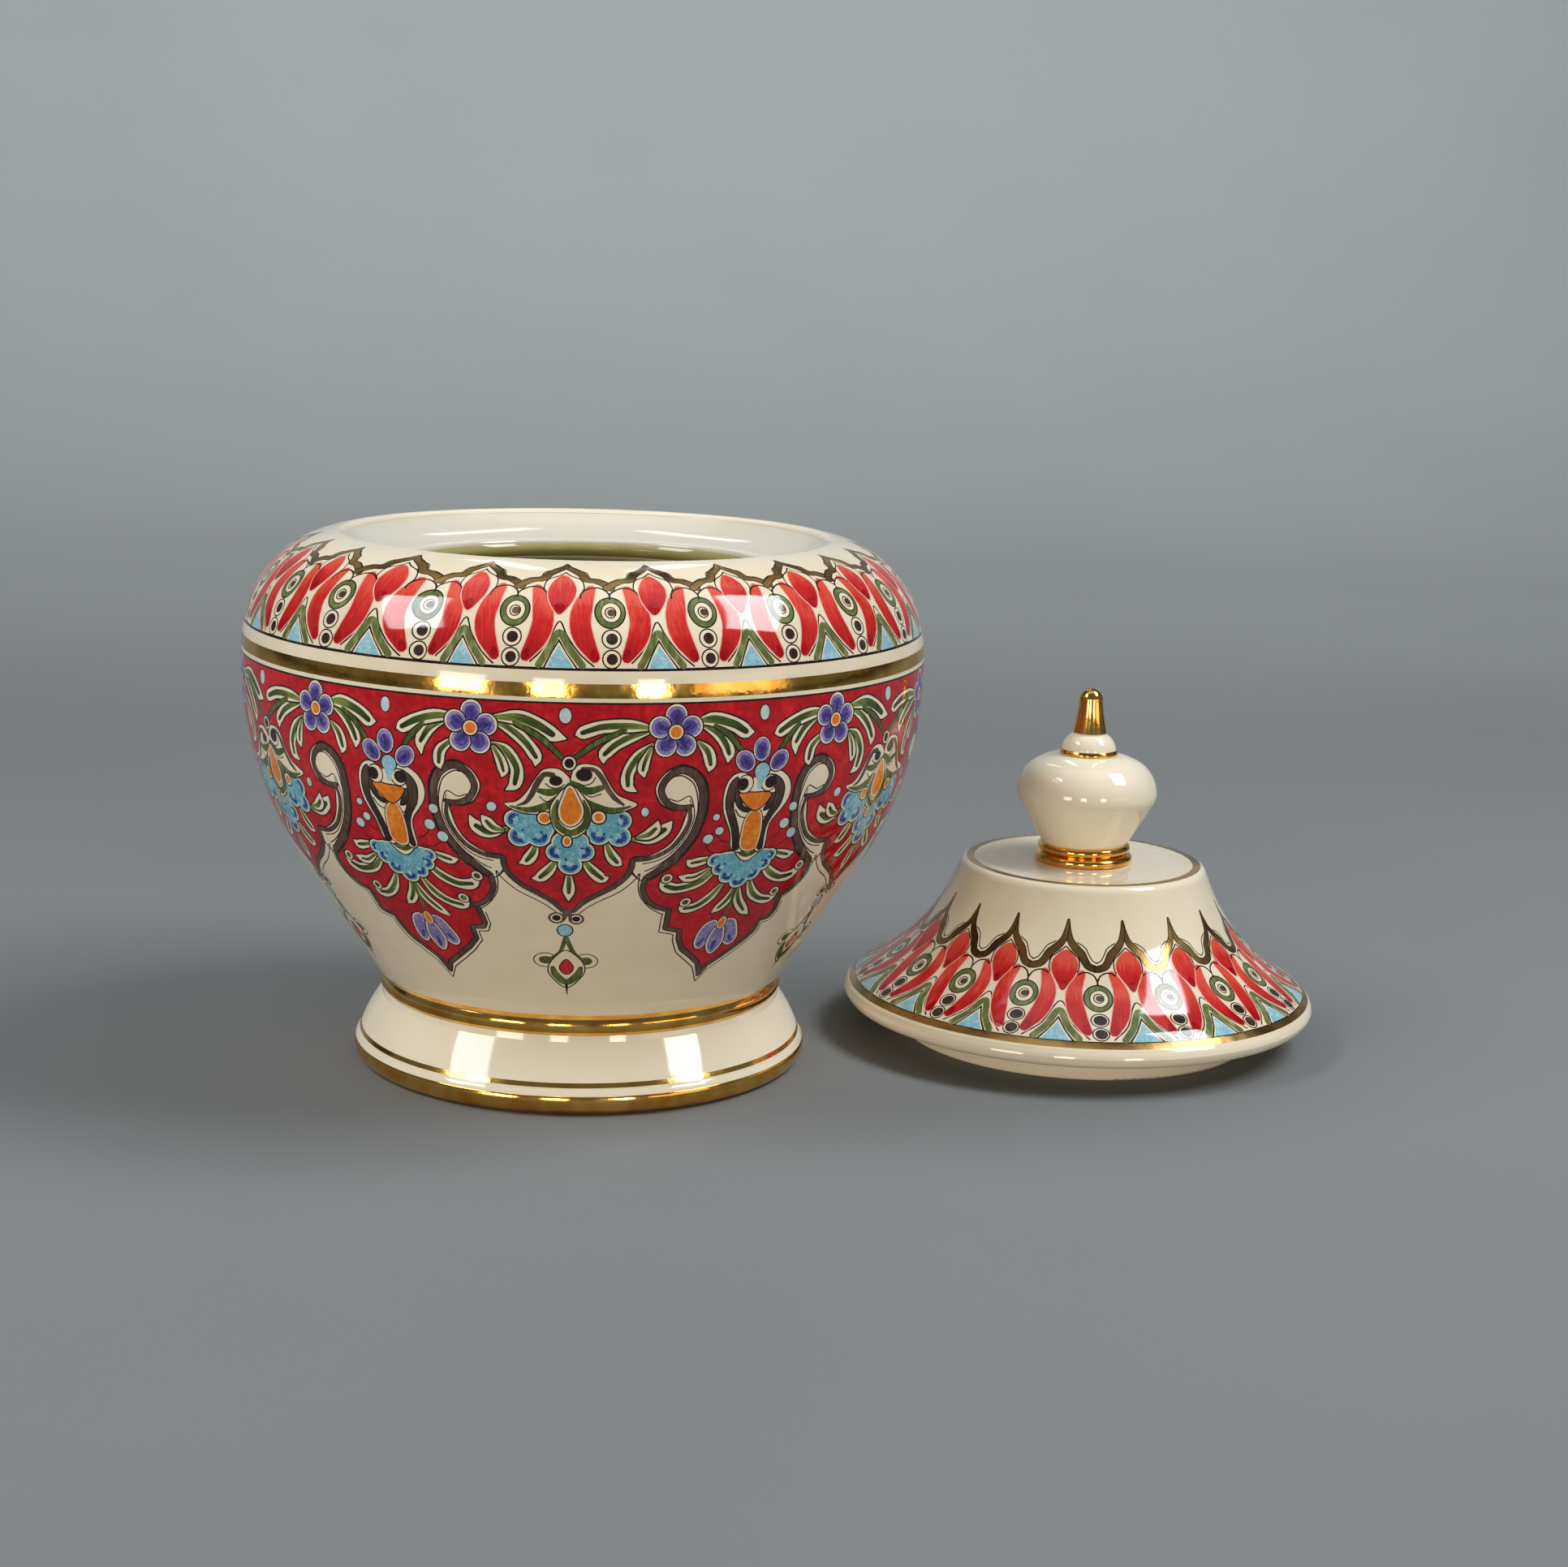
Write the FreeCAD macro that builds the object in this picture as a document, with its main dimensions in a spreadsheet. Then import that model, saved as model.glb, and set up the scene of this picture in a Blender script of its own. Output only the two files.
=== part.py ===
import FreeCAD, Part
import math
import os
import Sketcher

# A lidded jar of glazed earthenware with its lid standing beside it on the table.
# Every piece is thrown on a wheel, so every piece is one closed outline turned about
# its own upright axis.  The pieces of the jar are luted together in a stack:
#   foot_ring, bowl, shoulder, gallery_ring
# and so are the pieces of the lid:
#   lid_flange, lid_shell, knob_ring, knob_bulb, knob_collar, knob_finial
# Millimetres, +Z up, table at z = 0, origin below the middle of the whole row.

DOC = FreeCAD.newDocument("LiddedJar")
SHEET = DOC.addObject("Spreadsheet::Sheet", "Sizes")
SHEET.Label = "Sizes"

# ---------------------------------------------------------------- driving sizes
# Corner sizes come as NAME_rad (distance from the axis) and NAME_up (height above
# the table); CURVE sizes are the radii of the arcs that join two corners.

CORNERS = {
    # foot ring: rest face, gilded toe bead, cream cavetto, gilded neck bead
    "foot_inner_toe": (52.5, 0.0),
    "foot_outer_toe": (57.6, 0.0),
    "foot_toe_top": (59.85, 6.7),
    "foot_step": (59.55, 6.95),
    "foot_throat": (53.7, 17.6),
    "neck_low": (53.3, 19.3),
    "neck_high": (53.5, 23.5),
    "foot_inner_top": (45.0, 23.5),
    "foot_inner_low": (47.0, 14.0),
    # bowl
    "bowl_heel": (53.9, 23.5),
    "bowl_flare": (74.4, 55.3),
    "bowl_equator": (89.8, 111.9),
    "bowl_equator_in": (84.4, 111.7),
    "bowl_flare_in": (69.9, 58.3),
    "bowl_floor_turn": (53.9, 33.8),
    "bowl_floor_edge": (45.9, 29.6),
    # shoulder
    "shoulder_haunch": (88.13, 121.8),
    "shoulder_crest": (65.05, 141.3),
    "mouth_crease": (62.7, 140.3),
    "mouth_back": (62.7, 134.4),
    "shoulder_haunch_in": (82.95, 120.3),
    # gallery: ledge that the lid flange stands on, and the throat below it
    "ledge_outer": (50.4, 134.5),
    "ledge_inner": (47.8, 134.5),
    "throat_top": (46.6, 133.3),
    "throat_low": (46.6, 129.6),
    "throat_turn": (48.2, 128.4),
    # lid flange
    "flange_in": (44.2, 0.8),
    "flange_in_toe": (45.0, 0.0),
    "flange_out_toe": (48.6, 0.0),
    "flange_out": (49.4, 0.8),
    "flange_out_top": (49.4, 7.8),
    "flange_in_top": (44.2, 7.8),
    # lid shell: rolled rim, bell-shaped skirt, flat crown
    "rim_under": (62.2, 7.8),
    "rim_nose": (66.2, 10.9),
    "rim_top": (64.3, 13.7),
    "skirt_low": (59.8, 17.4),
    "skirt_high": (34.5, 48.0),
    "crown_edge": (32.6, 49.6),
    "shell_in_low": (50.0, 12.6),
    "shell_in_turn": (51.5, 16.7),
    "shell_in_high": (30.9, 43.2),
    "shell_in_crown": (29.1, 44.8),
    # knob, from its gilded ring to its gilded tip
    "ring_seat": (13.0, 49.6),
    "ring_waist_low": (12.6, 52.1),
    "ring_waist": (12.0, 52.4),
    "ring_top": (11.9, 55.0),
    "bulb_flank": (19.1, 67.15),
    "bulb_widest": (19.65, 69.4),
    "bulb_haunch": (14.57, 78.0),
    "bulb_top": (7.75, 80.1),
    "collar_line": (7.95, 80.9),
    "collar_edge": (7.6, 81.5),
    "collar_top": (4.7, 85.8),
    "finial_root": (4.8, 86.2),
    "finial_neck": (3.3, 95.3),
}

CURVES = {
    "toe_curve": 4.0,
    "cavetto_curve": 34.0,
    "neck_curve": 3.4,
    "foot_hollow_curve": 16.0,
    "belly_curve": 93.4,
    "belly_in_curve": 88.0,
    "floor_curve": 9.5,
    "haunch_curve": 43.9,
    "crown_curve": 27.24,
    "mouth_curve": 3.1,
    "haunch_in_curve": 38.5,
    "crown_in_curve": 21.8,
    "gallery_curve": 24.0,
    "lip_curve": 1.2,
    "lip_low_curve": 1.7,
    "gallery_under_curve": 70.0,
    "flange_toe_curve": 0.8,
    "rim_curve": 3.6,
    "rim_top_curve": 3.6,
    "skirt_turn_curve": 15.9,
    "bell_curve": 53.9,
    "bell_in_curve": 58.9,
    "crown_edge_curve": 2.2,
    "shell_turn_curve": 2.6,
    "shell_in_crown_curve": 2.2,
    "ring_tier_curve": 1.35,
    "bulb_flank_curve": 185.0,
    "bulb_side_curve": 4.63,
    "bulb_round_curve": 10.1,
    "bulb_top_curve": 18.4,
    "collar_bead_curve": 0.55,
    "collar_dome_curve": 5.3,
    "finial_curve": 60.0,
    "finial_tip_curve": 3.3,
}

AXIS_HEIGHTS = {
    "bowl_floor_top": 29.6,
    "crown_top": 49.6,
    "crown_under": 44.8,
    "ring_head": 55.0,
    "bulb_head": 80.1,
    "collar_head": 86.2,
    "finial_tip": 98.6,
}

PLACES = {
    "lid_spacing": 141.0,
    "lid_setback": 22.0,
}


def fill_sheet():
    """Write every driving size into the sheet as a plain number with its alias."""
    rows = []
    for name, (rad, up) in CORNERS.items():
        rows.append((name + "_rad", rad))
        rows.append((name + "_up", up))
    for group in (CURVES, AXIS_HEIGHTS, PLACES):
        rows.extend(group.items())
    for row, (alias, value) in enumerate(rows, start=1):
        SHEET.set("A%d" % row, alias)
        SHEET.set("B%d" % row, str(value))
        SHEET.setAlias("B%d" % row, alias)
    # the jar and the lid stand either side of the middle of the whole row
    row = len(rows) + 1
    formulas = {
        "jar_centre": "=(bowl_equator_rad - lid_spacing - rim_nose_rad) / 2",
        "lid_centre": "=(bowl_equator_rad + lid_spacing - rim_nose_rad) / 2",
    }
    for offset, (alias, formula) in enumerate(formulas.items()):
        SHEET.set("A%d" % (row + offset), alias)
        SHEET.set("B%d" % (row + offset), formula)
        SHEET.setAlias("B%d" % (row + offset), alias)
    DOC.recompute()


def cell(alias):
    """Present value of one cell of the sheet."""
    return float(SHEET.get(alias))


# ---------------------------------------------------------------- outlines
# An outline is a list of (corner, edge) pairs.  The edge runs from this corner to the
# next: "line", or (curve name, +1 or -1) for an arc that bulges to the right-hand (+1)
# or left-hand (-1) side of the direction of travel.  A corner on the axis is written
# ("axis", height name) or ("axis", corner name) to share that corner's height.

def corner_point(corner):
    """Position of a corner in the sketch: x outward, y up."""
    if isinstance(corner, tuple):
        name = corner[1]
        up = cell(name) if name in AXIS_HEIGHTS else cell(name + "_up")
        return FreeCAD.Vector(0, up, 0)
    return FreeCAD.Vector(cell(corner + "_rad"), cell(corner + "_up"), 0)


def corner_height_alias(corner):
    """Alias of the cell that holds a corner's height."""
    if isinstance(corner, tuple):
        name = corner[1]
        return name if name in AXIS_HEIGHTS else name + "_up"
    return corner + "_up"


def arc_between(start, end, radius, side):
    """Arc from start to end of the given radius, bulging to the given side."""
    chord = end - start
    half = chord.Length / 2
    sagitta = radius - math.sqrt(radius ** 2 - half ** 2)
    right_hand = FreeCAD.Vector(chord.y, -chord.x, 0)
    right_hand.normalize()
    crown = (start + end) * 0.5 + right_hand * (sagitta * side)
    return Part.Arc(start, crown, end)


def add_edge(sketch, start, end, edge):
    """Add one edge of the outline; return its index and which ends are its start and end."""
    if edge == "line":
        return sketch.addGeometry(Part.LineSegment(start, end), False), 1, 2
    curve, side = edge
    arc = arc_between(start, end, cell(curve), side)
    index = sketch.addGeometry(arc, False)
    begins = sketch.getPoint(index, 1)
    if begins.distanceToPoint(start) < 1e-4:
        return index, 1, 2
    return index, 2, 1


def bind(sketch, kind, arguments, name, alias):
    """Add a named constraint whose value is read from the sheet."""
    index = sketch.addConstraint(Sketcher.Constraint(kind, *arguments))
    sketch.renameConstraint(index, name)
    sketch.setExpression("Constraints." + name, "Sizes." + alias)


def pin_corner(sketch, index, point, corner, number):
    """Hold the start of an edge at its corner's distance and height."""
    if isinstance(corner, tuple):
        sketch.addConstraint(Sketcher.Constraint("PointOnObject", index, point, -2))
    else:
        arguments = (-1, 1, index, point, cell(corner + "_rad"))
        bind(sketch, "DistanceX", arguments, "out%d" % number, corner + "_rad")
    alias = corner_height_alias(corner)
    if cell(alias) == 0:
        sketch.addConstraint(Sketcher.Constraint("PointOnObject", index, point, -1))
    else:
        arguments = (-1, 1, index, point, cell(alias))
        bind(sketch, "DistanceY", arguments, "up%d" % number, alias)


def draw_outline(sketch, outline):
    """Draw a closed outline and constrain all of it to the sheet."""
    edges = []
    for number, (corner, edge) in enumerate(outline):
        following = outline[(number + 1) % len(outline)][0]
        edges.append(add_edge(sketch, corner_point(corner), corner_point(following), edge))
    for number, (index, begins, ends) in enumerate(edges):
        after, after_begins, _ = edges[(number + 1) % len(edges)]
        link = Sketcher.Constraint("Coincident", index, ends, after, after_begins)
        sketch.addConstraint(link)
    for number, (corner, edge) in enumerate(outline):
        index, begins, _ = edges[number]
        pin_corner(sketch, index, begins, corner, number)
        if edge != "line":
            bind(sketch, "Radius", (index, cell(edge[0])), "bend%d" % number, edge[0])


def origin_plane(body, role):
    """The body's own origin plane of the given role."""
    for feature in body.Origin.OriginFeatures:
        if feature.Role == role:
            return feature
    raise RuntimeError("no plane " + role)


def turned_piece(label, outline, centre, setback):
    """A body turned about its own upright axis, standing at the given centre."""
    body = DOC.addObject("PartDesign::Body", label)
    body.Label = label
    sketch = body.newObject("Sketcher::SketchObject", label + "_outline")
    sketch.AttachmentSupport = [(origin_plane(body, "XZ_Plane"), "")]
    sketch.MapMode = "FlatFace"
    draw_outline(sketch, outline)
    DOC.recompute()
    turn = body.newObject("PartDesign::Revolution", label + "_turn")
    turn.Profile = sketch
    turn.ReferenceAxis = (sketch, ["V_Axis"])
    turn.Angle = 360.0
    sketch.Visibility = False
    body.setExpression("Placement.Base.x", "Sizes." + centre)
    if setback:
        body.setExpression("Placement.Base.y", "Sizes." + setback)
    DOC.recompute()
    return body


# Each outline runs counter-clockwise seen with x to the right and y up, so +1 bulges
# outward from the clay and -1 bites into it.
FOOT_RING = [
    ("foot_inner_toe", "line"),
    ("foot_outer_toe", ("toe_curve", 1)),
    ("foot_toe_top", "line"),
    ("foot_step", ("cavetto_curve", 1)),
    ("foot_throat", "line"),
    ("neck_low", ("neck_curve", 1)),
    ("neck_high", "line"),
    ("foot_inner_top", "line"),
    ("foot_inner_low", ("foot_hollow_curve", 1)),
]

BOWL = [
    (("axis", "bowl_heel"), "line"),
    ("bowl_heel", "line"),
    ("bowl_flare", ("belly_curve", 1)),
    ("bowl_equator", "line"),
    ("bowl_equator_in", ("belly_in_curve", -1)),
    ("bowl_flare_in", "line"),
    ("bowl_floor_turn", ("floor_curve", -1)),
    ("bowl_floor_edge", "line"),
    (("axis", "bowl_floor_top"), "line"),
]

SHOULDER = [
    ("bowl_equator", ("haunch_curve", 1)),
    ("shoulder_haunch", ("crown_curve", 1)),
    ("shoulder_crest", ("mouth_curve", 1)),
    ("mouth_crease", "line"),
    ("mouth_back", ("crown_in_curve", -1)),
    ("shoulder_haunch_in", ("haunch_in_curve", -1)),
    ("bowl_equator_in", "line"),
]

GALLERY_RING = [
    ("mouth_back", "line"),
    ("mouth_crease", ("gallery_curve", -1)),
    ("ledge_outer", "line"),
    ("ledge_inner", ("lip_curve", 1)),
    ("throat_top", "line"),
    ("throat_low", ("lip_low_curve", 1)),
    ("throat_turn", ("gallery_under_curve", -1)),
]

LID_FLANGE = [
    ("flange_in_toe", "line"),
    ("flange_out_toe", ("flange_toe_curve", 1)),
    ("flange_out", "line"),
    ("flange_out_top", "line"),
    ("flange_in_top", "line"),
    ("flange_in", ("flange_toe_curve", 1)),
]

LID_SHELL = [
    ("flange_in_top", "line"),
    ("rim_under", ("rim_curve", 1)),
    ("rim_nose", ("rim_top_curve", 1)),
    ("rim_top", ("skirt_turn_curve", 1)),
    ("skirt_low", ("bell_curve", -1)),
    ("skirt_high", ("crown_edge_curve", 1)),
    ("crown_edge", "line"),
    (("axis", "crown_top"), "line"),
    (("axis", "crown_under"), "line"),
    ("shell_in_crown", ("shell_in_crown_curve", -1)),
    ("shell_in_high", ("bell_in_curve", 1)),
    ("shell_in_turn", ("shell_turn_curve", -1)),
    ("shell_in_low", "line"),
]

KNOB_RING = [
    (("axis", "crown_top"), "line"),
    ("ring_seat", ("ring_tier_curve", 1)),
    ("ring_waist_low", "line"),
    ("ring_waist", ("ring_tier_curve", 1)),
    ("ring_top", "line"),
    (("axis", "ring_head"), "line"),
]

KNOB_BULB = [
    (("axis", "ring_head"), "line"),
    ("ring_top", ("bulb_flank_curve", 1)),
    ("bulb_flank", ("bulb_side_curve", 1)),
    ("bulb_widest", ("bulb_round_curve", 1)),
    ("bulb_haunch", ("bulb_top_curve", 1)),
    ("bulb_top", "line"),
    (("axis", "bulb_head"), "line"),
]

KNOB_COLLAR = [
    (("axis", "bulb_head"), "line"),
    ("bulb_top", ("collar_bead_curve", 1)),
    ("collar_line", "line"),
    ("collar_edge", ("collar_dome_curve", 1)),
    ("collar_top", "line"),
    ("finial_root", "line"),
    (("axis", "collar_head"), "line"),
]

KNOB_FINIAL = [
    (("axis", "collar_head"), "line"),
    ("finial_root", ("finial_curve", -1)),
    ("finial_neck", ("finial_tip_curve", 1)),
    (("axis", "finial_tip"), "line"),
]

JAR_PIECES = {
    "foot_ring": FOOT_RING,
    "bowl": BOWL,
    "shoulder": SHOULDER,
    "gallery_ring": GALLERY_RING,
}

LID_PIECES = {
    "lid_flange": LID_FLANGE,
    "lid_shell": LID_SHELL,
    "knob_ring": KNOB_RING,
    "knob_bulb": KNOB_BULB,
    "knob_collar": KNOB_COLLAR,
    "knob_finial": KNOB_FINIAL,
}


def failed_objects():
    """Labels of the document's objects that did not compute."""
    bad = []
    for item in DOC.Objects:
        if "Invalid" in item.State or "Error" in item.State:
            bad.append(item.Label)
    return bad


def build_pieces():
    """Build the jar's pieces on the jar's axis and the lid's pieces on the lid's."""
    pieces = []
    for label, outline in JAR_PIECES.items():
        pieces.append(turned_piece(label, outline, "jar_centre", None))
    for label, outline in LID_PIECES.items():
        pieces.append(turned_piece(label, outline, "lid_centre", "lid_setback"))
    return pieces


def check_piece(piece):
    """Stop if a piece is empty, broken or not one solid."""
    shape = piece.Shape
    if shape.isNull() or not shape.isValid():
        raise RuntimeError("bad shape: " + piece.Label)
    if len(shape.Solids) != 1 or shape.Volume <= 0:
        raise RuntimeError("not one solid: " + piece.Label)


def export_pieces(pieces):
    """Write each piece to its own STEP file and print its box."""
    os.makedirs("parts", exist_ok=True)
    for piece in pieces:
        piece.Shape.exportStep(os.path.join("parts", piece.Label + ".step"))
        box = piece.Shape.BoundBox
        low = (round(box.XMin, 2), round(box.YMin, 2), round(box.ZMin, 2))
        high = (round(box.XMax, 2), round(box.YMax, 2), round(box.ZMax, 2))
        print(piece.Label, low, high, "cm3 %.1f" % (piece.Shape.Volume / 1000))


fill_sheet()
PIECES = build_pieces()
DOC.recompute()
FAILED = failed_objects()
if FAILED:
    raise RuntimeError("failed: " + ", ".join(FAILED))
for one_piece in PIECES:
    check_piece(one_piece)
export_pieces(PIECES)
print("jar centre x", round(cell("jar_centre"), 3), "lid centre x", round(cell("lid_centre"), 3))
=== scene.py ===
import math

import bpy
import numpy as np
from mathutils import Matrix, Vector, geometry


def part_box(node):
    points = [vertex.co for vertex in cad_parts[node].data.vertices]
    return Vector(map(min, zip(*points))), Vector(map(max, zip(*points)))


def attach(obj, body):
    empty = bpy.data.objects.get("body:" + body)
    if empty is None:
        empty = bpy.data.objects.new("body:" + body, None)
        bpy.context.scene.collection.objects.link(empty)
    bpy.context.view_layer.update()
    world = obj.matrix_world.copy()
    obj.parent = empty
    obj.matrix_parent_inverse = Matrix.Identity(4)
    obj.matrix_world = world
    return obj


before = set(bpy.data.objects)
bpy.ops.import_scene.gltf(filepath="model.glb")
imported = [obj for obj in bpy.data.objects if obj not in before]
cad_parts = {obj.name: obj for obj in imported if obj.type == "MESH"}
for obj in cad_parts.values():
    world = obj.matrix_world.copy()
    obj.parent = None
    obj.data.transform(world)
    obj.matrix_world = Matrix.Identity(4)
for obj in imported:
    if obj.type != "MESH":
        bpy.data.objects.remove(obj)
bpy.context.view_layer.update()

MM = 0.001
SKIN = 0.12                 # how far the painted glaze stands over the clay, mm
CELL = 3.0                  # spacing of the points between the painted shapes, mm
TUCK = 0.2                  # width of a skin's rim, where it sinks back into the clay, mm
SUNK = 0.06                 # how far under the clay that rim ends, mm
MIDDLE_TONE = 0.5           # 0 is a stroke's thin start, 1 its pooled end
STROKE_STEP = 9.0           # sets each stroke's bristle noise apart from the last one's
REPEAT_STEP = 170.0         # and each repeat's from the last one's
NEAR = 1e-3                 # two points on the unrolled strip closer than this are one, mm


# ---------------------------------------------------------------- outlines

def arc(start, end, radius, side=1, count=40):
    """Points on an arc from start to end; side 1 bulges to the left of the way."""
    start = np.array(start, float)
    end = np.array(end, float)
    chord = end - start
    half = np.hypot(*chord) / 2
    left = np.array([-chord[1], chord[0]]) / (2 * half)
    centre = (start + end) / 2 - left * side * math.sqrt(radius ** 2 - half ** 2)
    first = math.atan2(start[1] - centre[1], start[0] - centre[0])
    last = math.atan2(end[1] - centre[1], end[0] - centre[0])
    sweep = (last - first + math.pi) % (2 * math.pi) - math.pi
    turn = first + sweep * np.linspace(0, 1, count)
    return np.stack([centre[0] + radius * np.cos(turn), centre[1] + radius * np.sin(turn)], -1)


def line(start, end, count=20):
    """Points on a straight run."""
    return np.linspace(start, end, count)


def joined(runs):
    """Runs of points, each starting where the last one ended, as one."""
    return np.concatenate([runs[0]] + [run[1:] for run in runs[1:]])


class Turned:
    """A turned surface: its outline as (radius, height), measured along from a zero point."""

    def __init__(self, runs, zero, axis):
        points = joined(runs)
        length = np.concatenate([[0], np.cumsum(np.hypot(*np.diff(points, axis=0).T))])
        fine = np.arange(0, length[-1], 0.1)
        self.radius = np.interp(fine, length, points[:, 0])
        self.height = np.interp(fine, length, points[:, 1])
        nearest = np.argmin(np.hypot(self.radius - zero[0], self.height - zero[1]))
        self.along = fine - fine[nearest]
        slope = np.stack([np.gradient(self.radius), np.gradient(self.height)], -1)
        slope /= np.linalg.norm(slope, axis=1)[:, None]
        self.out = np.stack([slope[:, 1], -slope[:, 0]], -1)
        if self.out[len(fine) // 2, 0] < 0:
            self.out = -self.out
        self.axis = axis

    def at(self, s):
        """Radius, height and outward direction at distance s."""
        r = np.interp(s, self.along, self.radius)
        z = np.interp(s, self.along, self.height)
        n_r = np.interp(s, self.along, self.out[:, 0])
        n_z = np.interp(s, self.along, self.out[:, 1])
        return r, z, n_r, n_z


def axis_of(node):
    """The upright axis of a turned CAD node, in mm."""
    low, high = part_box(node)
    return ((low.x + high.x) / 2 / MM, (low.y + high.y) / 2 / MM)


JAR_AXIS = axis_of("bowl")
LID_AXIS = axis_of("lid_shell")

jar_side = Turned(
    [
        arc((62.7, 140.3), (65.05, 141.3), 3.1),
        arc((65.05, 141.3), (88.13, 121.8), 27.24),
        arc((88.13, 121.8), (89.8, 111.9), 43.9),
        arc((89.8, 111.9), (74.4, 55.3), 93.4, count=80),
        line((74.4, 55.3), (53.9, 23.5)),
    ],
    (89.8, 111.9),
    JAR_AXIS,
)
lid_side = Turned(
    [
        arc((66.2, 10.9), (64.3, 13.7), 3.6, -1),
        arc((64.3, 13.7), (59.8, 17.4), 15.9, -1),
        arc((59.8, 17.4), (34.5, 48.0), 53.9, 1, count=60),
        arc((34.5, 48.0), (32.6, 49.6), 2.2, -1),
        line((32.6, 49.6), (13.0, 49.6)),
    ],
    (64.3, 13.7),
    LID_AXIS,
)


# ---------------------------------------------------------------- brushwork

def curve(points, closed=False, step=0.8):
    """Points along a smooth line through the given ones."""
    p = np.asarray(points, float)
    if closed:
        ring = np.vstack([p[-1], p, p[0], p[1]])
    else:
        ring = np.vstack([2 * p[0] - p[1], p, 2 * p[-1] - p[-2]])
    out = []
    for a, b, c, d in zip(ring, ring[1:], ring[2:], ring[3:]):
        count = max(1, math.ceil(np.hypot(*(c - b)[:2]) / step))
        t = (np.arange(count) / count)[:, None]
        out.append(
            0.5 * (2 * b + (c - a) * t + (2 * a - 5 * b + 4 * c - d) * t ** 2
                   + (3 * b - a - 3 * c + d) * t ** 3)
        )
    if not closed:
        out.append(p[-1:])
    return np.concatenate(out)


def ribbon(points, width, step=0.8):
    """The outline of a brush stroke; width is one number, or one for each point."""
    widths = np.full(len(points), width, float) if np.isscalar(width) else np.array(width, float)
    way = curve(np.column_stack([np.asarray(points, float), widths]), step=step)
    tangent = np.gradient(way[:, :2], axis=0)
    tangent /= np.maximum(np.linalg.norm(tangent, axis=1), 1e-9)[:, None]
    side = np.stack([-tangent[:, 1], tangent[:, 0]], -1)
    half = np.maximum(way[:, 2:3], 0.05) / 2
    left = way[:, :2] + side * half
    right = way[:, :2] - side * half
    parts = [left]
    if half[-1, 0] > 0.25:
        parts.append(round_end(way[-1, :2], tangent[-1], side[-1], half[-1, 0]))
    parts.append(right[::-1])
    if half[0, 0] > 0.25:
        parts.append(round_end(way[0, :2], -tangent[0], -side[0], half[0, 0]))
    return np.concatenate(parts)


def round_end(centre, ahead, side, half):
    """Three points round the end of a stroke."""
    turns = (math.pi / 4, math.pi / 2, 3 * math.pi / 4)
    return np.array([centre + side * half * math.cos(t) + ahead * half * math.sin(t) for t in turns])


def sharp(points, step=0.8):
    """Straight pieces between the points, with points along them."""
    out = []
    p = np.asarray(points, float)
    for a, b in zip(p, p[1:]):
        count = max(1, math.ceil(np.hypot(*(b - a)) / step))
        out.append(a + (b - a) * (np.arange(count) / count)[:, None])
    out.append(p[-1:])
    return np.concatenate(out)


def grown(outline, by):
    """A closed outline pushed outwards."""
    p = np.asarray(outline, float)
    ahead = np.roll(p, -1, 0) - np.roll(p, 1, 0)
    ahead /= np.maximum(np.linalg.norm(ahead, axis=1), 1e-9)[:, None]
    area = np.sum(p[:, 0] * np.roll(p[:, 1], -1) - np.roll(p[:, 0], -1) * p[:, 1])
    side = np.stack([ahead[:, 1], -ahead[:, 0]], -1) * (1 if area > 0 else -1)
    return p + side * by


def thinned(outline, slack=0.045, longest=2.6):
    """A closed outline without the points that lie on a straight line between their neighbours."""
    kept = [0]
    count = len(outline)
    ring = np.vstack([outline, outline[:1]])
    while kept[-1] < count:
        first = kept[-1]
        last = first + 1
        while last < count:
            chord = ring[last + 1] - ring[first]
            length = max(np.hypot(*chord), 1e-9)
            between = ring[first + 1:last + 1] - ring[first]
            off = np.abs(between[:, 0] * chord[1] - between[:, 1] * chord[0]) / length
            if length > longest or off.max() > slack:
                break
            last += 1
        kept.append(last)
    return ring[kept[:-1]]


def jitter(seed):
    """A repeatable number from 0 to 1 that looks random."""
    return (math.sin(12.9898 * seed) * 43758.5453) % 1


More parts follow.
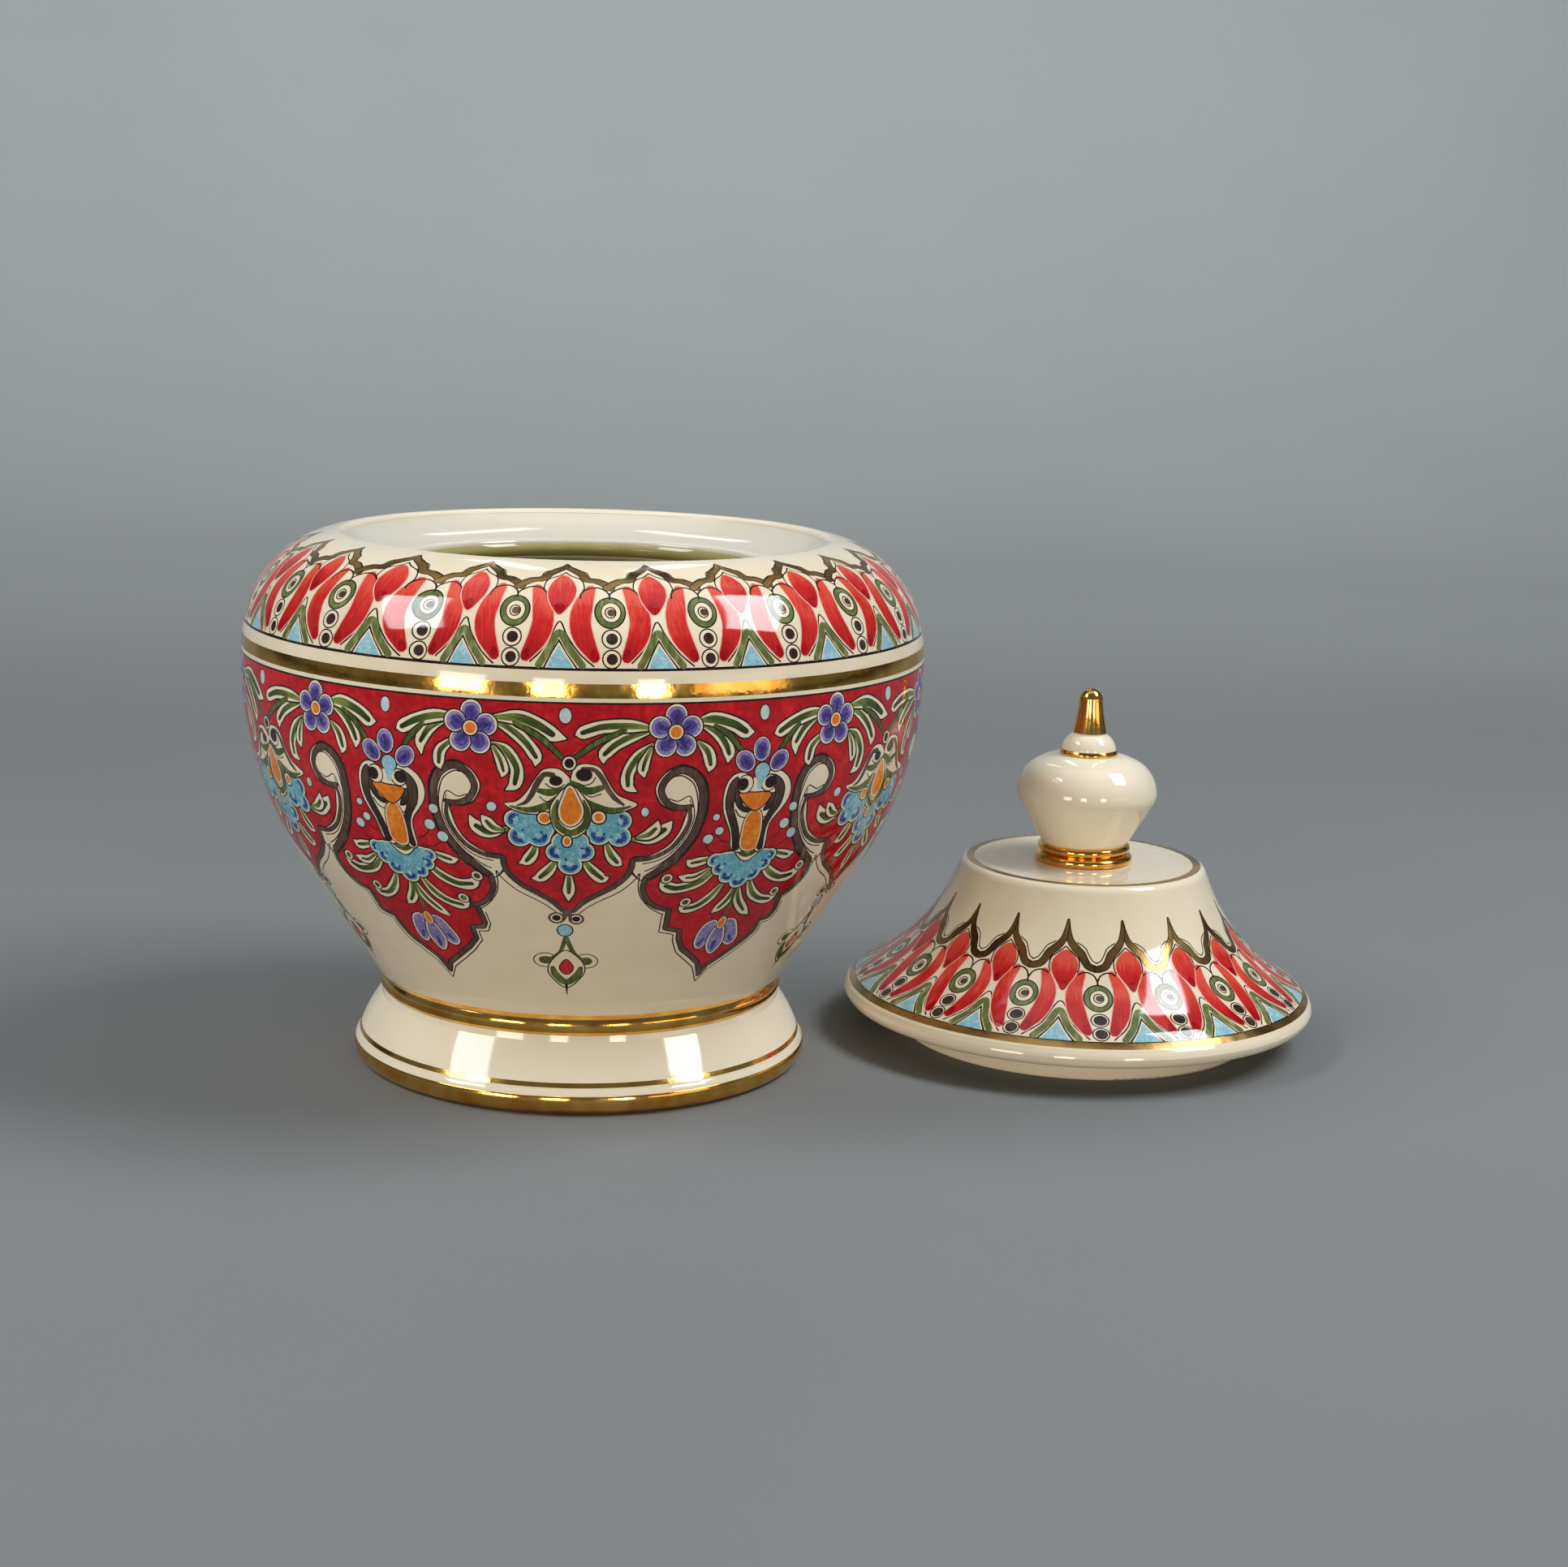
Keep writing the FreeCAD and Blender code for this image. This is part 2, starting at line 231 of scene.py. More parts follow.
class Canvas:
    """One repeat of a turned surface, unrolled. Along it runs the angle, as mm at the widest
    radius; across it the distance on the outline. Later shapes cover earlier ones."""

    def __init__(self, surface, repeats, start, low, high):
        self.surface = surface
        self.repeats = repeats
        self.scale = float(np.max(surface.radius)) * math.pi / 180
        self.left = start * self.scale
        self.width = 360 / repeats * self.scale
        self.low = low
        self.high = high
        self.shapes = []
        self.place(0)

    def place(self, angle, flip=1):
        """Sets the upright line that the next shapes are drawn about, and their side."""
        self.angle = angle
        self.flip = flip

    def strip(self, points):
        """Local (across, along the outline) in mm to the unrolled strip."""
        p = np.asarray(points, float)
        radius = self.surface.at(p[:, 1])[0]
        turn = self.angle + self.flip * p[:, 0] / radius * 180 / math.pi
        return np.stack([turn * self.scale, p[:, 1]], -1)

    def add(self, paint, outline, fade=None):
        """A shape already on the strip, and its copies across the strip's ends."""
        order = len(self.shapes)
        outline = thinned(outline)
        self.shapes.append((paint, outline, fade, order))
        for shift in (-2, -1, 1, 2):
            moved = outline + np.array([shift * self.width, 0])
            if moved[:, 0].max() > self.left and moved[:, 0].min() < self.left + self.width:
                far = None if fade is None else fade + np.array([shift * self.width, 0])
                self.shapes.append((paint, moved, far, order))

    def shape(self, paint, outline, fade=None):
        """A closed outline; fade gives where the brush set down and where it lifted."""
        ends = None if fade is None else self.strip(fade)
        self.add(paint, self.strip(outline), ends)

    def blob(self, paint, points, grow=0.0, fade=None):
        """A smooth closed shape through the points, pushed out by grow."""
        self.shape(paint, grown(curve(points, closed=True), grow), fade)

    def stroke(self, paint, points, width, fade=None):
        """A brush stroke along the points."""
        self.shape(paint, ribbon(points, width), fade)

    def outlined(self, paint, points, widths):
        """A stroke with a dark line along both its sides."""
        self.stroke("edge", points, [w + 0.5 for w in widths])
        self.stroke(paint, points, widths)

    def oval(self, paint, x, y, rx, ry=None):
        """A round spot, or an oval one."""
        ry = rx if ry is None else ry
        count = max(8, int(2 * math.pi * max(rx, ry) / 0.75))
        t = 2 * math.pi * np.arange(count) / count
        self.shape(paint, np.stack([x + rx * np.cos(t), y + ry * np.sin(t)], -1))

    def rings(self, x, y, *layers):
        """Ovals one over another about one point, each a paint, a radius and, if not round, another."""
        for paint, *radii in layers:
            self.oval(paint, x, y, *radii)

    def backed(self, paint, points, rim, grow=0.0):
        """A smooth shape with a dark line round it."""
        self.blob("edge", points, rim)
        self.blob(paint, points, grow)

    def band(self, paint, low, high):
        """A ring all the way round."""
        count = math.ceil(self.width / 1.6)
        xs = self.left + self.width / count * np.arange(-2, count + 3)
        ring = [(x, low) for x in xs] + [(x, high) for x in xs[::-1]]
        self.shapes.append((paint, np.array(ring), None, len(self.shapes)))

    # -- the small shapes that the decoration repeats

    def dot(self, paint, x, y, rx, ry=None, rim=0.5, edge=0.4):
        """A dab of paint with a bare rim and a dark edge."""
        ry = rx if ry is None else ry
        outer = rim + edge
        self.rings(x, y, ("edge", rx + outer, ry + outer), ("cream", rx + rim, ry + rim),
                   (paint, rx, ry))

    def pearl(self, x, y, rx, ry=None):
        """A pale blue spot on the red."""
        ry = rx if ry is None else ry
        self.rings(x, y, ("deep", rx + 0.3, ry + 0.3), ("pearl", rx, ry))

    def leaf(self, points, tip, width):
        """A green stroke on a bare leaf that ends in a point."""
        whole = list(points) + [tip]
        count = len(whole)
        swell = [1.0] + [width + 1.4] * (count - 2) + [0.15]
        dark = [w + 0.9 for w in swell]
        self.stroke("edge", whole, dark)
        self.stroke("cream", whole, swell)
        inner = [0.9] + [width] * (len(points) - 2) + [width * 0.75]
        self.stroke("green", points, inner, fade=(points[0], points[-1]))

    def leaves(self, *rows):
        """Leaves, each its points, its tip and its width."""
        for points, tip, width in rows:
            self.leaf(points, tip, width)

    def lobed(self, core, lobes):
        """A turquoise fan: round lobes about a core, with ragged navy dabs at their outer edges."""
        middle = np.mean(np.asarray(core, float), axis=0)
        for layer, grow in (("edge", 0.85), ("cream", 0.45), ("turquoise", 0.1)):
            self.blob(layer, core, grow)
            for x, y, r in lobes:
                self.oval(layer, x, y, r + grow)
        for k, (x, y, r) in enumerate(lobes):
            away = math.atan2(y - middle[1], x - middle[0])
            self.speckled(x, y, r, away, 7 * k + 3)

    def speckled(self, x, y, r, away, seed):
        """Sponged blues on one lobe: a pale middle, a ragged navy edge and loose specks."""
        around = [2 * math.pi * k / 9 for k in range(9)]
        pale = [((0.3 + 0.24 * jitter(seed + k)) * r, t) for k, t in enumerate(around)]
        self.shape("sky", [(x + d * math.cos(t), y + d * math.sin(t)) for d, t in pale])
        turns = [away + (k - 8) * 0.19 for k in range(17)]
        outer = [(r - 0.35 - 0.2 * jitter(seed + 2 * k), t) for k, t in enumerate(turns)]
        inner = [(r - (1.0, 1.75)[k % 2] - 0.5 * jitter(seed + 5 * k), t) for k, t in enumerate(turns)]
        ragged = [(max(d, 0.3), t) for d, t in outer + inner[::-1]]
        self.shape("navy", [(x + d * math.cos(t), y + d * math.sin(t)) for d, t in ragged])
        for k in range(5):
            turn = away + 5.5 * (jitter(seed + 11 * k) - 0.5)
            reach = r * (0.35 + 0.45 * jitter(seed + 17 * k))
            size = 0.2 + 0.16 * jitter(seed + 23 * k)
            middle = np.array([x + reach * math.cos(turn), y + reach * math.sin(turn)])
            ends = np.array([[1, 0], [0.2, 1.3], [-1, 0.3], [-0.3, -1.1]])
            self.shape("navy", middle + size * ends)

    def petal(self, middle, ahead, size, long=1.0):
        """A violet petal: pale at its outer edge, darker brush marks towards the flower's heart."""
        side = np.array([-ahead[1], ahead[0]])
        ring = [(0.0, 1.0), (0.75, 0.72), (1.0, 0.0), (0.75, -0.75), (0.0, -1.0), (-0.75, -0.72),
                (-1.0, 0.0), (-0.72, 0.75)]
        dark = [(-0.9, 0.3), (-0.2, 0.72), (0.42, 0.5), (0.66, 0.05), (0.36, -0.55), (-0.25, -0.74),
                (-0.9, -0.3)]
        streak = [(-0.8, 0.12), (-0.1, 0.3), (0.35, 0.1), (-0.1, -0.22), (-0.8, -0.12)]
        for paint, outline in (("lilac", ring), ("purple", dark), ("violet", streak)):
            self.blob(paint, [middle + size * (a * long * ahead + b * side) for a, b in outline])

    def rimmed(self, paint, points, rim, edge):
        """A smooth shape with a bare rim and a dark edge."""
        self.blob("edge", points, rim + edge)
        self.blob("cream", points, rim)
        self.blob(paint, points)


# ---------------------------------------------------------------- skins

def inside(points, outline):
    """Which points lie in a closed outline, by winding number."""
    winding = np.zeros(len(points), int)
    x = points[:, 0]
    y = points[:, 1]
    for (ax, ay), (bx, by) in zip(outline, np.roll(outline, -1, 0)):
        if ay == by:
            continue
        lies_left = (bx - ax) * (y - ay) - (x - ax) * (by - ay)
        if by > ay:
            winding += (ay <= y) & (y < by) & (lies_left > 0)
        else:
            winding -= (by <= y) & (y < ay) & (lies_left < 0)
    return winding != 0


def cut_up(canvas):
    """One repeat cut along every outline: points, triangles and what painted() says of them."""
    right = canvas.left + canvas.width
    columns = max(2, round(canvas.width / CELL))
    rows = max(2, round((canvas.high - canvas.low) / CELL))
    xs = np.linspace(canvas.left, right, columns + 1)
    ys = np.linspace(canvas.low, canvas.high, rows + 1)
    ys = np.sort(np.concatenate([ys, [canvas.low + TUCK, canvas.high - TUCK]]))
    rows += 2
    points = [Vector((x, y)) for x in xs for y in ys]
    edges = []
    tall = rows + 1
    for column in (0, columns):
        edges += [(column * tall + row, column * tall + row + 1) for row in range(rows)]
    for row in (0, 1, rows - 1, rows):
        edges += [(column * tall + row, (column + 1) * tall + row) for column in range(columns)]
    for paint, outline, fade, order in canvas.shapes:
        first = len(points)
        points += [Vector(p) for p in outline]
        count = len(outline)
        edges += [(first + i, first + (i + 1) % count) for i in range(count)]
    made = geometry.delaunay_2d_cdt(points, edges, [], 0, 1e-4, False)
    flat = np.array([tuple(v) for v in made[0]])
    triangles = np.array([tuple(f) for f in made[2]])
    middle = flat[triangles].mean(1)
    kept = (
        (middle[:, 0] > canvas.left - NEAR) & (middle[:, 0] < right + NEAR)
        & (middle[:, 1] > canvas.low - NEAR) & (middle[:, 1] < canvas.high + NEAR)
    )
    triangles = triangles[kept]
    middle = middle[kept]
    return (flat, triangles, *painted(canvas, flat, triangles, middle))


def painted(canvas, flat, triangles, middle):
    """Each triangle's paint, and at its corners the tone and the place along the brush stroke."""
    paint_of = np.zeros(len(triangles), int)
    tone = np.full((len(triangles), 3), MIDDLE_TONE)
    brush = np.concatenate([flat[triangles] * (0.6, 1.0), np.zeros((len(triangles), 3, 1))], -1)
    for paint, outline, fade, order in sorted(canvas.shapes, key=lambda shape: shape[3]):
        low = outline.min(0)
        high = outline.max(0)
        near = np.nonzero(np.all((middle >= low) & (middle <= high), axis=1))[0]
        hit = near[inside(middle[near], outline)]
        paint_of[hit] = PAINTS.index(paint)
        tone[hit] = MIDDLE_TONE
        if fade is not None:
            way = fade[1] - fade[0]
            at = (flat[triangles[hit]] - fade[0]) @ way / (way @ way)
            tone[hit] = np.clip(at, 0, 1)
            way = way / np.linalg.norm(way)
            reach = flat[triangles[hit]] - fade[0]
            brush[hit, :, 0] = reach @ np.array([-way[1], way[0]])
            brush[hit, :, 1] = reach @ way
            brush[hit, :, 2] = STROKE_STEP * order
    return paint_of, tone, brush


def numbered(canvas, flat):
    """Each repeat's point numbers; a repeat's last column is the first column of the next."""
    count = len(flat)
    left = np.nonzero(np.abs(flat[:, 0] - canvas.left) < NEAR)[0]
    right = np.nonzero(np.abs(flat[:, 0] - canvas.left - canvas.width) < NEAR)[0]
    left = left[np.argsort(flat[left, 1])]
    right = right[np.argsort(flat[right, 1])]
    number = np.arange(count * canvas.repeats).reshape(canvas.repeats, count)
    for turn in range(canvas.repeats):
        number[turn, right] = number[(turn + 1) % canvas.repeats, left]
    return number


def wrapped(canvas, flat, bend):
    """Where every repeat's points lie on the turned surface, in mm, and which way it faces there."""
    angle = (flat[:, 0][None, :] + canvas.width * np.arange(canvas.repeats)[:, None]) / canvas.scale
    along = np.repeat(flat[:, 1][None, :], canvas.repeats, 0)
    angle = angle.ravel()
    along = along.ravel()
    edge_gap = np.minimum(along - canvas.low, canvas.high - along)
    lift = SKIN - (SKIN + SUNK) * np.clip(1 - edge_gap / TUCK, 0, 1)
    if bend is not None:
        angle = bend(angle)
    radius, height, n_r, n_z = canvas.surface.at(along)
    turn = np.radians(angle)
    out = np.stack([n_r * np.sin(turn), -n_r * np.cos(turn), n_z], -1)
    place = np.stack([radius * np.sin(turn), -radius * np.cos(turn), height], -1) + out * lift[:, None]
    place[:, :2] += canvas.surface.axis
    return place, out


def add_piece(name, mesh, body, normals=None):
    """Puts a mesh in the scene as a smooth piece that rides a body."""
    mesh.polygons.foreach_set("use_smooth", np.ones(len(mesh.polygons), bool))
    mesh.update()
    if normals is not None:
        mesh.normals_split_custom_set_from_vertices(normals.tolist())
    piece = bpy.data.objects.new(name, mesh)
    bpy.context.scene.collection.objects.link(piece)
    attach(piece, body)


def turn_outward(place, out, faces, tones, brushes):
    """Reverses the faces that look inwards, with what is said of their corners."""
    first, second, third = (place[faces[:, corner]] for corner in range(3))
    facing = np.einsum("ij,ij->i", np.cross(second - first, third - first), out[faces[:, 0]])
    for corners in (faces, tones, brushes):
        corners[facing < 0] = corners[facing < 0][:, ::-1]


def skin(name, canvas, body, bend=None):
    """The painted surface: every repeat of the canvas, wrapped round the turned outline."""
    flat, triangles, paint_of, tone, brush = cut_up(canvas)
    used, triangles = np.unique(triangles, return_inverse=True)
    triangles = triangles.reshape(-1, 3)
    flat = flat[used]
    place, out = wrapped(canvas, flat, bend)
    number = numbered(canvas, flat)
    faces = np.concatenate([number[turn][triangles] for turn in range(canvas.repeats)])
    kept, faces = np.unique(faces, return_inverse=True)
    faces = faces.reshape(-1, 3)
    place = place[kept]
    out = out[kept]
    tones = np.tile(tone, (canvas.repeats, 1))
    brushes = np.tile(brush, (canvas.repeats, 1, 1))
    turns = np.repeat(np.arange(canvas.repeats), len(triangles))
    brushes[:, :, 2] += REPEAT_STEP * turns[:, None]
    turn_outward(place, out, faces, tones, brushes)
    mesh = bpy.data.meshes.new(name)
    mesh.from_pydata((place * MM).tolist(), [], faces.tolist())
    mesh.polygons.foreach_set("material_index", np.tile(paint_of, canvas.repeats).astype(np.int32))
    for label, kind, field, values in (
        ("tone", "FLOAT", "value", tones),
        ("brush", "FLOAT_VECTOR", "vector", brushes),
    ):
        layer = mesh.attributes.new(label, kind, "CORNER")
        layer.data.foreach_set(field, values.ravel().astype(np.float32))
    for paint in PAINTS:
        mesh.materials.append(MATERIALS[paint])
    add_piece(name, mesh, body, out)


# ---------------------------------------------------------------- materials

def colour(red, green, blue):
    """A display colour, 0 to 255, as linear light."""
    out = []
    for value in (red, green, blue):
        v = value / 255
        out.append(v / 12.92 if v <= 0.04045 else ((v + 0.055) / 1.055) ** 2.4)
    return (*out, 1.0)


GLAZE_ROUGHNESS = 0.07


class Nodes:
    """Short calls for building a material's node tree."""

    def __init__(self, name):
        self.material = bpy.data.materials.new(name)
        self.material.use_nodes = True
        self.tree = self.material.node_tree
        self.shader = self.tree.nodes["Principled BSDF"]
        self.place = self.tree.nodes.new("ShaderNodeTexCoord").outputs["Object"]

    def link(self, source, target):
        self.tree.links.new(source, target)

    def noise(self, scale, detail=3.0):
        node = self.tree.nodes.new("ShaderNodeTexNoise")
        node.inputs["Scale"].default_value = scale
        node.inputs["Detail"].default_value = detail
        self.link(self.place, node.inputs["Vector"])
        return node.outputs["Fac"]

    def bristles(self, across, along):
        """Noise drawn out along each brush stroke."""
        source = self.tree.nodes.new("ShaderNodeAttribute")
        source.attribute_name = "brush"
        mapping = self.tree.nodes.new("ShaderNodeMapping")
        mapping.inputs["Scale"].default_value = (across, along, 1.0)
        self.link(source.outputs["Vector"], mapping.inputs["Vector"])
        node = self.tree.nodes.new("ShaderNodeTexNoise")
        node.inputs["Scale"].default_value = 1.0
        node.inputs["Detail"].default_value = 3.0
        self.link(mapping.outputs["Vector"], node.inputs["Vector"])
        return node.outputs["Fac"]

    def math(self, kind, a, b):
        node = self.tree.nodes.new("ShaderNodeMath")
        node.operation = kind
        for socket, value in zip(node.inputs, (a, b)):
            if isinstance(value, (int, float)):
                socket.default_value = value
            else:
                self.link(value, socket)
        return node.outputs[0]

    def ramp(self, source, stops):
        node = self.tree.nodes.new("ShaderNodeValToRGB")
        ramp = node.color_ramp
        ramp.elements[0].position = stops[0][0]
        ramp.elements[0].color = stops[0][1]
        ramp.elements[1].position = stops[-1][0]
        ramp.elements[1].color = stops[-1][1]
        for position, shade in stops[1:-1]:
            ramp.elements.new(position).color = shade
        self.link(source, node.inputs["Fac"])
        return node.outputs["Color"]

    def attribute(self, name):
        node = self.tree.nodes.new("ShaderNodeAttribute")
        node.attribute_name = name
        return node.outputs["Fac"]

    def bump(self, source, strength, distance):
        node = self.tree.nodes.new("ShaderNodeBump")
        node.inputs["Strength"].default_value = strength
        node.inputs["Distance"].default_value = distance
        self.link(source, node.inputs["Height"])
        self.link(node.outputs["Normal"], self.shader.inputs["Normal"])

    def set(self, **values):
        for name, value in values.items():
            self.shader.inputs[name.replace("_", " ")].default_value = value


def glaze(name, thin, full, pooled, grain, drawn_out=False):
    """Transparent gloss over brushed colour: thin where the brush was dry, pooled at its end."""
    nodes = Nodes(name)
    wash = nodes.noise(grain, 4.0)
    drawn = nodes.bristles(1.7, 0.16) if drawn_out else nodes.noise(grain * 4.0, 3.0)
    mixed = nodes.math("ADD", nodes.math("MULTIPLY", wash, 0.5), nodes.math("MULTIPLY", drawn, 0.5))
    tone = nodes.math("MULTIPLY", nodes.attribute("tone"), 0.5)
    level = nodes.math("SUBTRACT", nodes.math("ADD", mixed, tone), 0.25)
    shade = nodes.ramp(level, [(0.3, colour(*thin)), (0.5, colour(*full)), (0.8, colour(*pooled))])
    nodes.link(shade, nodes.shader.inputs["Base Color"])
    nodes.set(Roughness=GLAZE_ROUGHNESS, IOR=1.5)
    nodes.bump(nodes.noise(60.0, 2.0), 0.05, 0.0005)
    return nodes.material


def lustre(name, bright, dark_patch, rough=GLAZE_ROUGHNESS, metal=1.0, patches=140.0):
    """Burnished gold, brushed on by hand, mixed from bright and dark patches; in the dull gold line the
    bright patches are painted highlights.
    """
    nodes = Nodes(name)
    shade = nodes.ramp(nodes.noise(patches, 4.0), [(0.35, colour(*dark_patch)), (0.6, colour(*bright))])
    nodes.link(shade, nodes.shader.inputs["Base Color"])
    gloss = [(0.3, (rough,) * 3 + (1,)), (0.7, (rough * 2.2,) * 3 + (1,))]
    nodes.link(nodes.ramp(nodes.noise(300.0, 3.0), gloss), nodes.shader.inputs["Roughness"])
    nodes.set(Metallic=metal)
    nodes.bump(nodes.noise(220.0, 3.0), 0.12, 0.0006)
    return nodes.material


# each glaze's name, its colour where thin, full and pooled, its grain, and whether it shows brush marks
GLAZES = {
    "cream": ("cream_glaze", (238, 227, 203), (235, 222, 195), (228, 212, 182), 25.0),
    "red_ground": ("red_ground", (212, 34, 38), (180, 14, 28), (128, 6, 18), 150.0),
    "red": ("red_wash", (222, 84, 66), (202, 42, 40), (160, 16, 26), 160.0, True),
    "lilac": ("lilac_wash", (176, 168, 208), (134, 124, 182), (92, 80, 152), 260.0),
    "blush": ("blush_fringe", (238, 206, 186), (234, 184, 164), (226, 150, 130), 300.0),
    "crimson": ("crimson_dab", (190, 24, 34), (160, 12, 24), (118, 6, 16), 200.0),
    "deep": ("deep_red", (110, 10, 16), (92, 8, 14), (60, 4, 8), 200.0),
    "green": ("green_brush", (126, 138, 66), (70, 88, 34), (32, 46, 18), 200.0, True),
    "violet": ("violet_streak", (84, 74, 148), (56, 46, 114), (34, 26, 78), 320.0),
    "moss": ("moss_brush", (156, 160, 112), (100, 112, 62), (58, 72, 36), 260.0, True),
    "purple": ("purple_brush", (122, 112, 182), (78, 66, 146), (44, 36, 104), 260.0),
    "turquoise": ("turquoise_wash", (168, 214, 220), (106, 174, 194), (66, 126, 172), 330.0),
    "navy": ("navy_dabs", (70, 110, 176), (34, 62, 134), (18, 34, 92), 400.0),
    "orange": ("orange_wash", (238, 160, 60), (226, 126, 28), (190, 86, 12), 220.0),
    "edge": ("dark_edge", (62, 38, 30), (36, 20, 18), (18, 8, 8), 300.0),
    "brown": ("brown_brush", (122, 102, 84), (82, 62, 50), (48, 32, 26), 260.0, True),
    "umber": ("umber_brush", (84, 66, 54), (54, 38, 32), (30, 20, 18), 260.0, True),
    "sky": ("sky_wash", (196, 224, 228), (146, 196, 212), (100, 160, 192), 420.0),
    "pearl": ("pearl_dab", (206, 226, 224), (184, 212, 214), (160, 192, 202), 240.0),
    # the gallery ring's cream, painted darker than the cream glaze as painted shade in the mouth's well
    "well": ("well_shaded_cream", (222, 214, 194), (216, 207, 185), (206, 195, 170), 25.0),
    # the jar's inside and throat: an olive cream painted darker, as painted shade inside the hollow
    "inside": ("inside_shaded_olive", (184, 172, 112), (168, 155, 94), (148, 136, 80), 25.0),
}
MATERIALS = {paint: glaze(*recipe) for paint, recipe in GLAZES.items()}
# the dull gold line: painted highlights as bright patches on a darker brown, partly the line's own colour
# and partly painted reflection of dark surroundings
MATERIALS["olive"] = lustre("dull_gold_line", (200, 158, 92), (98, 70, 40), 0.14, 0.75, 45.0)
MATERIALS["gold"] = lustre("gold_lustre", (250, 200, 104), (228, 162, 70))
PAINTS = [paint for paint in MATERIALS if paint not in ("well", "inside")]


# ---------------------------------------------------------------- belly decoration

BELLY_REPEATS = 6
PALMETTE_AT = -2.5          # degrees from the front, to the right
VASE_AT = 27.5
SCROLL_APART = 15           # degrees from a palmette or a vase to the scroll beside it


def flower(c, angle, lean=0.0):
    """A five-petalled violet flower at the top of the red ground."""
    c.place(angle)
    for turn in (math.radians(lean - 90 + 72 * k) for k in range(5)):
        ahead = np.array([math.cos(turn), math.sin(turn)])
        x, y = 4.1 * ahead + (0, 8.0)
        c.rings(x, y, ("edge", 2.95), ("cream", 2.6))
        c.petal((x, y) - 0.2 * ahead, ahead, 2.3)
    c.rings(0, 8.0, ("edge", 2.1), ("cream", 1.75), ("orange", 1.4))


def scroll(c, angle, flip):
    """The S-scroll between a palmette and a vase, with its pale eye."""
    c.place(angle, flip)
    c.blob("edge", [(-2.6, 22), (-1.4, 19), (0.7, 17.0), (4, 15.8), (8, 17.3), (10.6, 20.6), (11.3, 25),
                    (11.1, 29.3), (9.3, 35.5), (5.6, 41.3), (2.0, 44.9), (-2.7, 47.6), (-6.8, 44),
                    (-6.5, 40.2), (-2.3, 39.6), (1.6, 37), (3.9, 34), (4.9, 30.7), (5.3, 27.7),
                    (2.3, 27.7), (-0.9, 26)], 0.0)
    c.blob("cream", [(-2.2, 22), (-1, 19.1), (0.9, 17.4), (4, 16.3), (7.7, 17.8), (10.1, 20.9),
                     (10.8, 25), (10.6, 29.3), (8.8, 35.3), (5.2, 40.9), (1.6, 44.5), (-2.7, 47.3),
                     (-6.0, 44), (-6.2, 40.7), (-2.3, 40), (2, 37.3), (4.3, 34), (5.4, 30.7),
                     (5.8, 27.3), (2.3, 27.2), (-0.6, 25.6)], 0.0)
    c.outlined("brown", [(7.0, 26.6), (3.6, 26.9), (0.6, 25.4), (-0.9, 22.2), (0.6, 19.0), (4, 17.3),
                         (7.6, 19.0),
                       (9.4, 22.4), (9.8, 26), (9.5, 29.5), (7.7, 35.3), (4.3, 40.3), (0.7, 44),
                       (-2.3, 46.4)],
             [0.5, 1.2, 1.3, 1.3, 1.4, 1.6, 1.8, 1.8, 1.8, 1.7, 1.7, 1.6, 1.6, 1.4])
    c.stroke("brown", [(6.2, 26.9), (6.8, 29.4), (6.4, 32.0), (5.0, 35.0), (2.5, 38.2), (-1.6, 40.5),
                       (-5.8, 41.0)],
             [0.9, 1.1, 1.2, 1.3, 1.3, 1.3, 1.3])
    for points, width in (
        ([(1.6, 18.9), (4.2, 18.8), (7.0, 20.9), (8.3, 24.6), (8.5, 29.0), (6.9, 34.6), (3.4, 39.8),
          (-0.6, 43.2), (-3.0, 44.4)], 0.35),
        ([(1.0, 24.4), (3.4, 25.2), (6.2, 24.0), (7.4, 26.6), (7.8, 30.0), (6.4, 34.4), (3.6, 38.6),
          (0.2, 41.2), (-3.8, 42.2)], 0.3),
        ([(6.4, 24.8), (7.0, 28.0), (7.2, 30.6), (6.0, 34.2), (3.2, 38.0)], 0.25),
    ):
        c.stroke("edge", points, width)


# the red's lobes: their sides are drawn about the scroll beside them, the vase's lower end about the vase
PALMETTE_SIDE = [(5.5, 27.3), (5.1, 30.7), (4.1, 34), (1.8, 37), (-2.3, 39.8), (-6.6, 40.3),
                 (-6.2, 42.3), (-6.9, 45.3), (-9.4, 48.5), (-13, 50.9), (-16, 53.2), (-18.6, 55.6)]
VASE_SIDE = [(10.4, 21), (11.0, 25), (10.8, 29.3), (9.0, 35.5), (5.4, 41.1), (1.8, 44.7), (-2.2, 47.2),
             (-2.2, 49.9), (-0.9, 53), (1.6, 55.6), (5.0, 57.0)]
VASE_LOWER = [(-15.0, 57.0), (-14.4, 60.3), (-13.9, 63.5), (-9.8, 65.2), (-9.1, 68), (-7, 71.8),
              (-3.3, 75), (-0.6, 77.8), (0.8, 81.6), (2.0, 79), (5.6, 75.7), (9.8, 72), (12.7, 68.6),
              (13.1, 64.9), (16.1, 64.2), (17.0, 62.6), (17.2, 57.5)]


def red_ground(c):
    """The red behind the flowers, and the lobes that it hangs down in."""
    c.band("red_ground", 1.4, 20.0)
    hang(c, PALMETTE_AT, 1, PALMETTE_SIDE, [(-0.2, 57.6)], 1)
    hang(c, VASE_AT, -1, VASE_SIDE, curve(VASE_LOWER), 0)


def hang(c, angle, way, side, lower, tuck):
    """One lobe of the red: a side, the same side mirrored, and the line between their lower ends."""
    c.place(angle + SCROLL_APART * way, 1)
    one = c.strip(curve(side))
    c.place(angle - SCROLL_APART * way, -1)
    other = c.strip(curve(side))
    left, right = (other, one) if way == 1 else (one, other)
    c.place(angle)
    top = 18                # inside the red band
    start = [[left[0, 0] - tuck, top]]
    end = [[right[0, 0] + tuck, top]]
    c.add("red_ground", np.concatenate([start, left, c.strip(lower), right[::-1], end]))


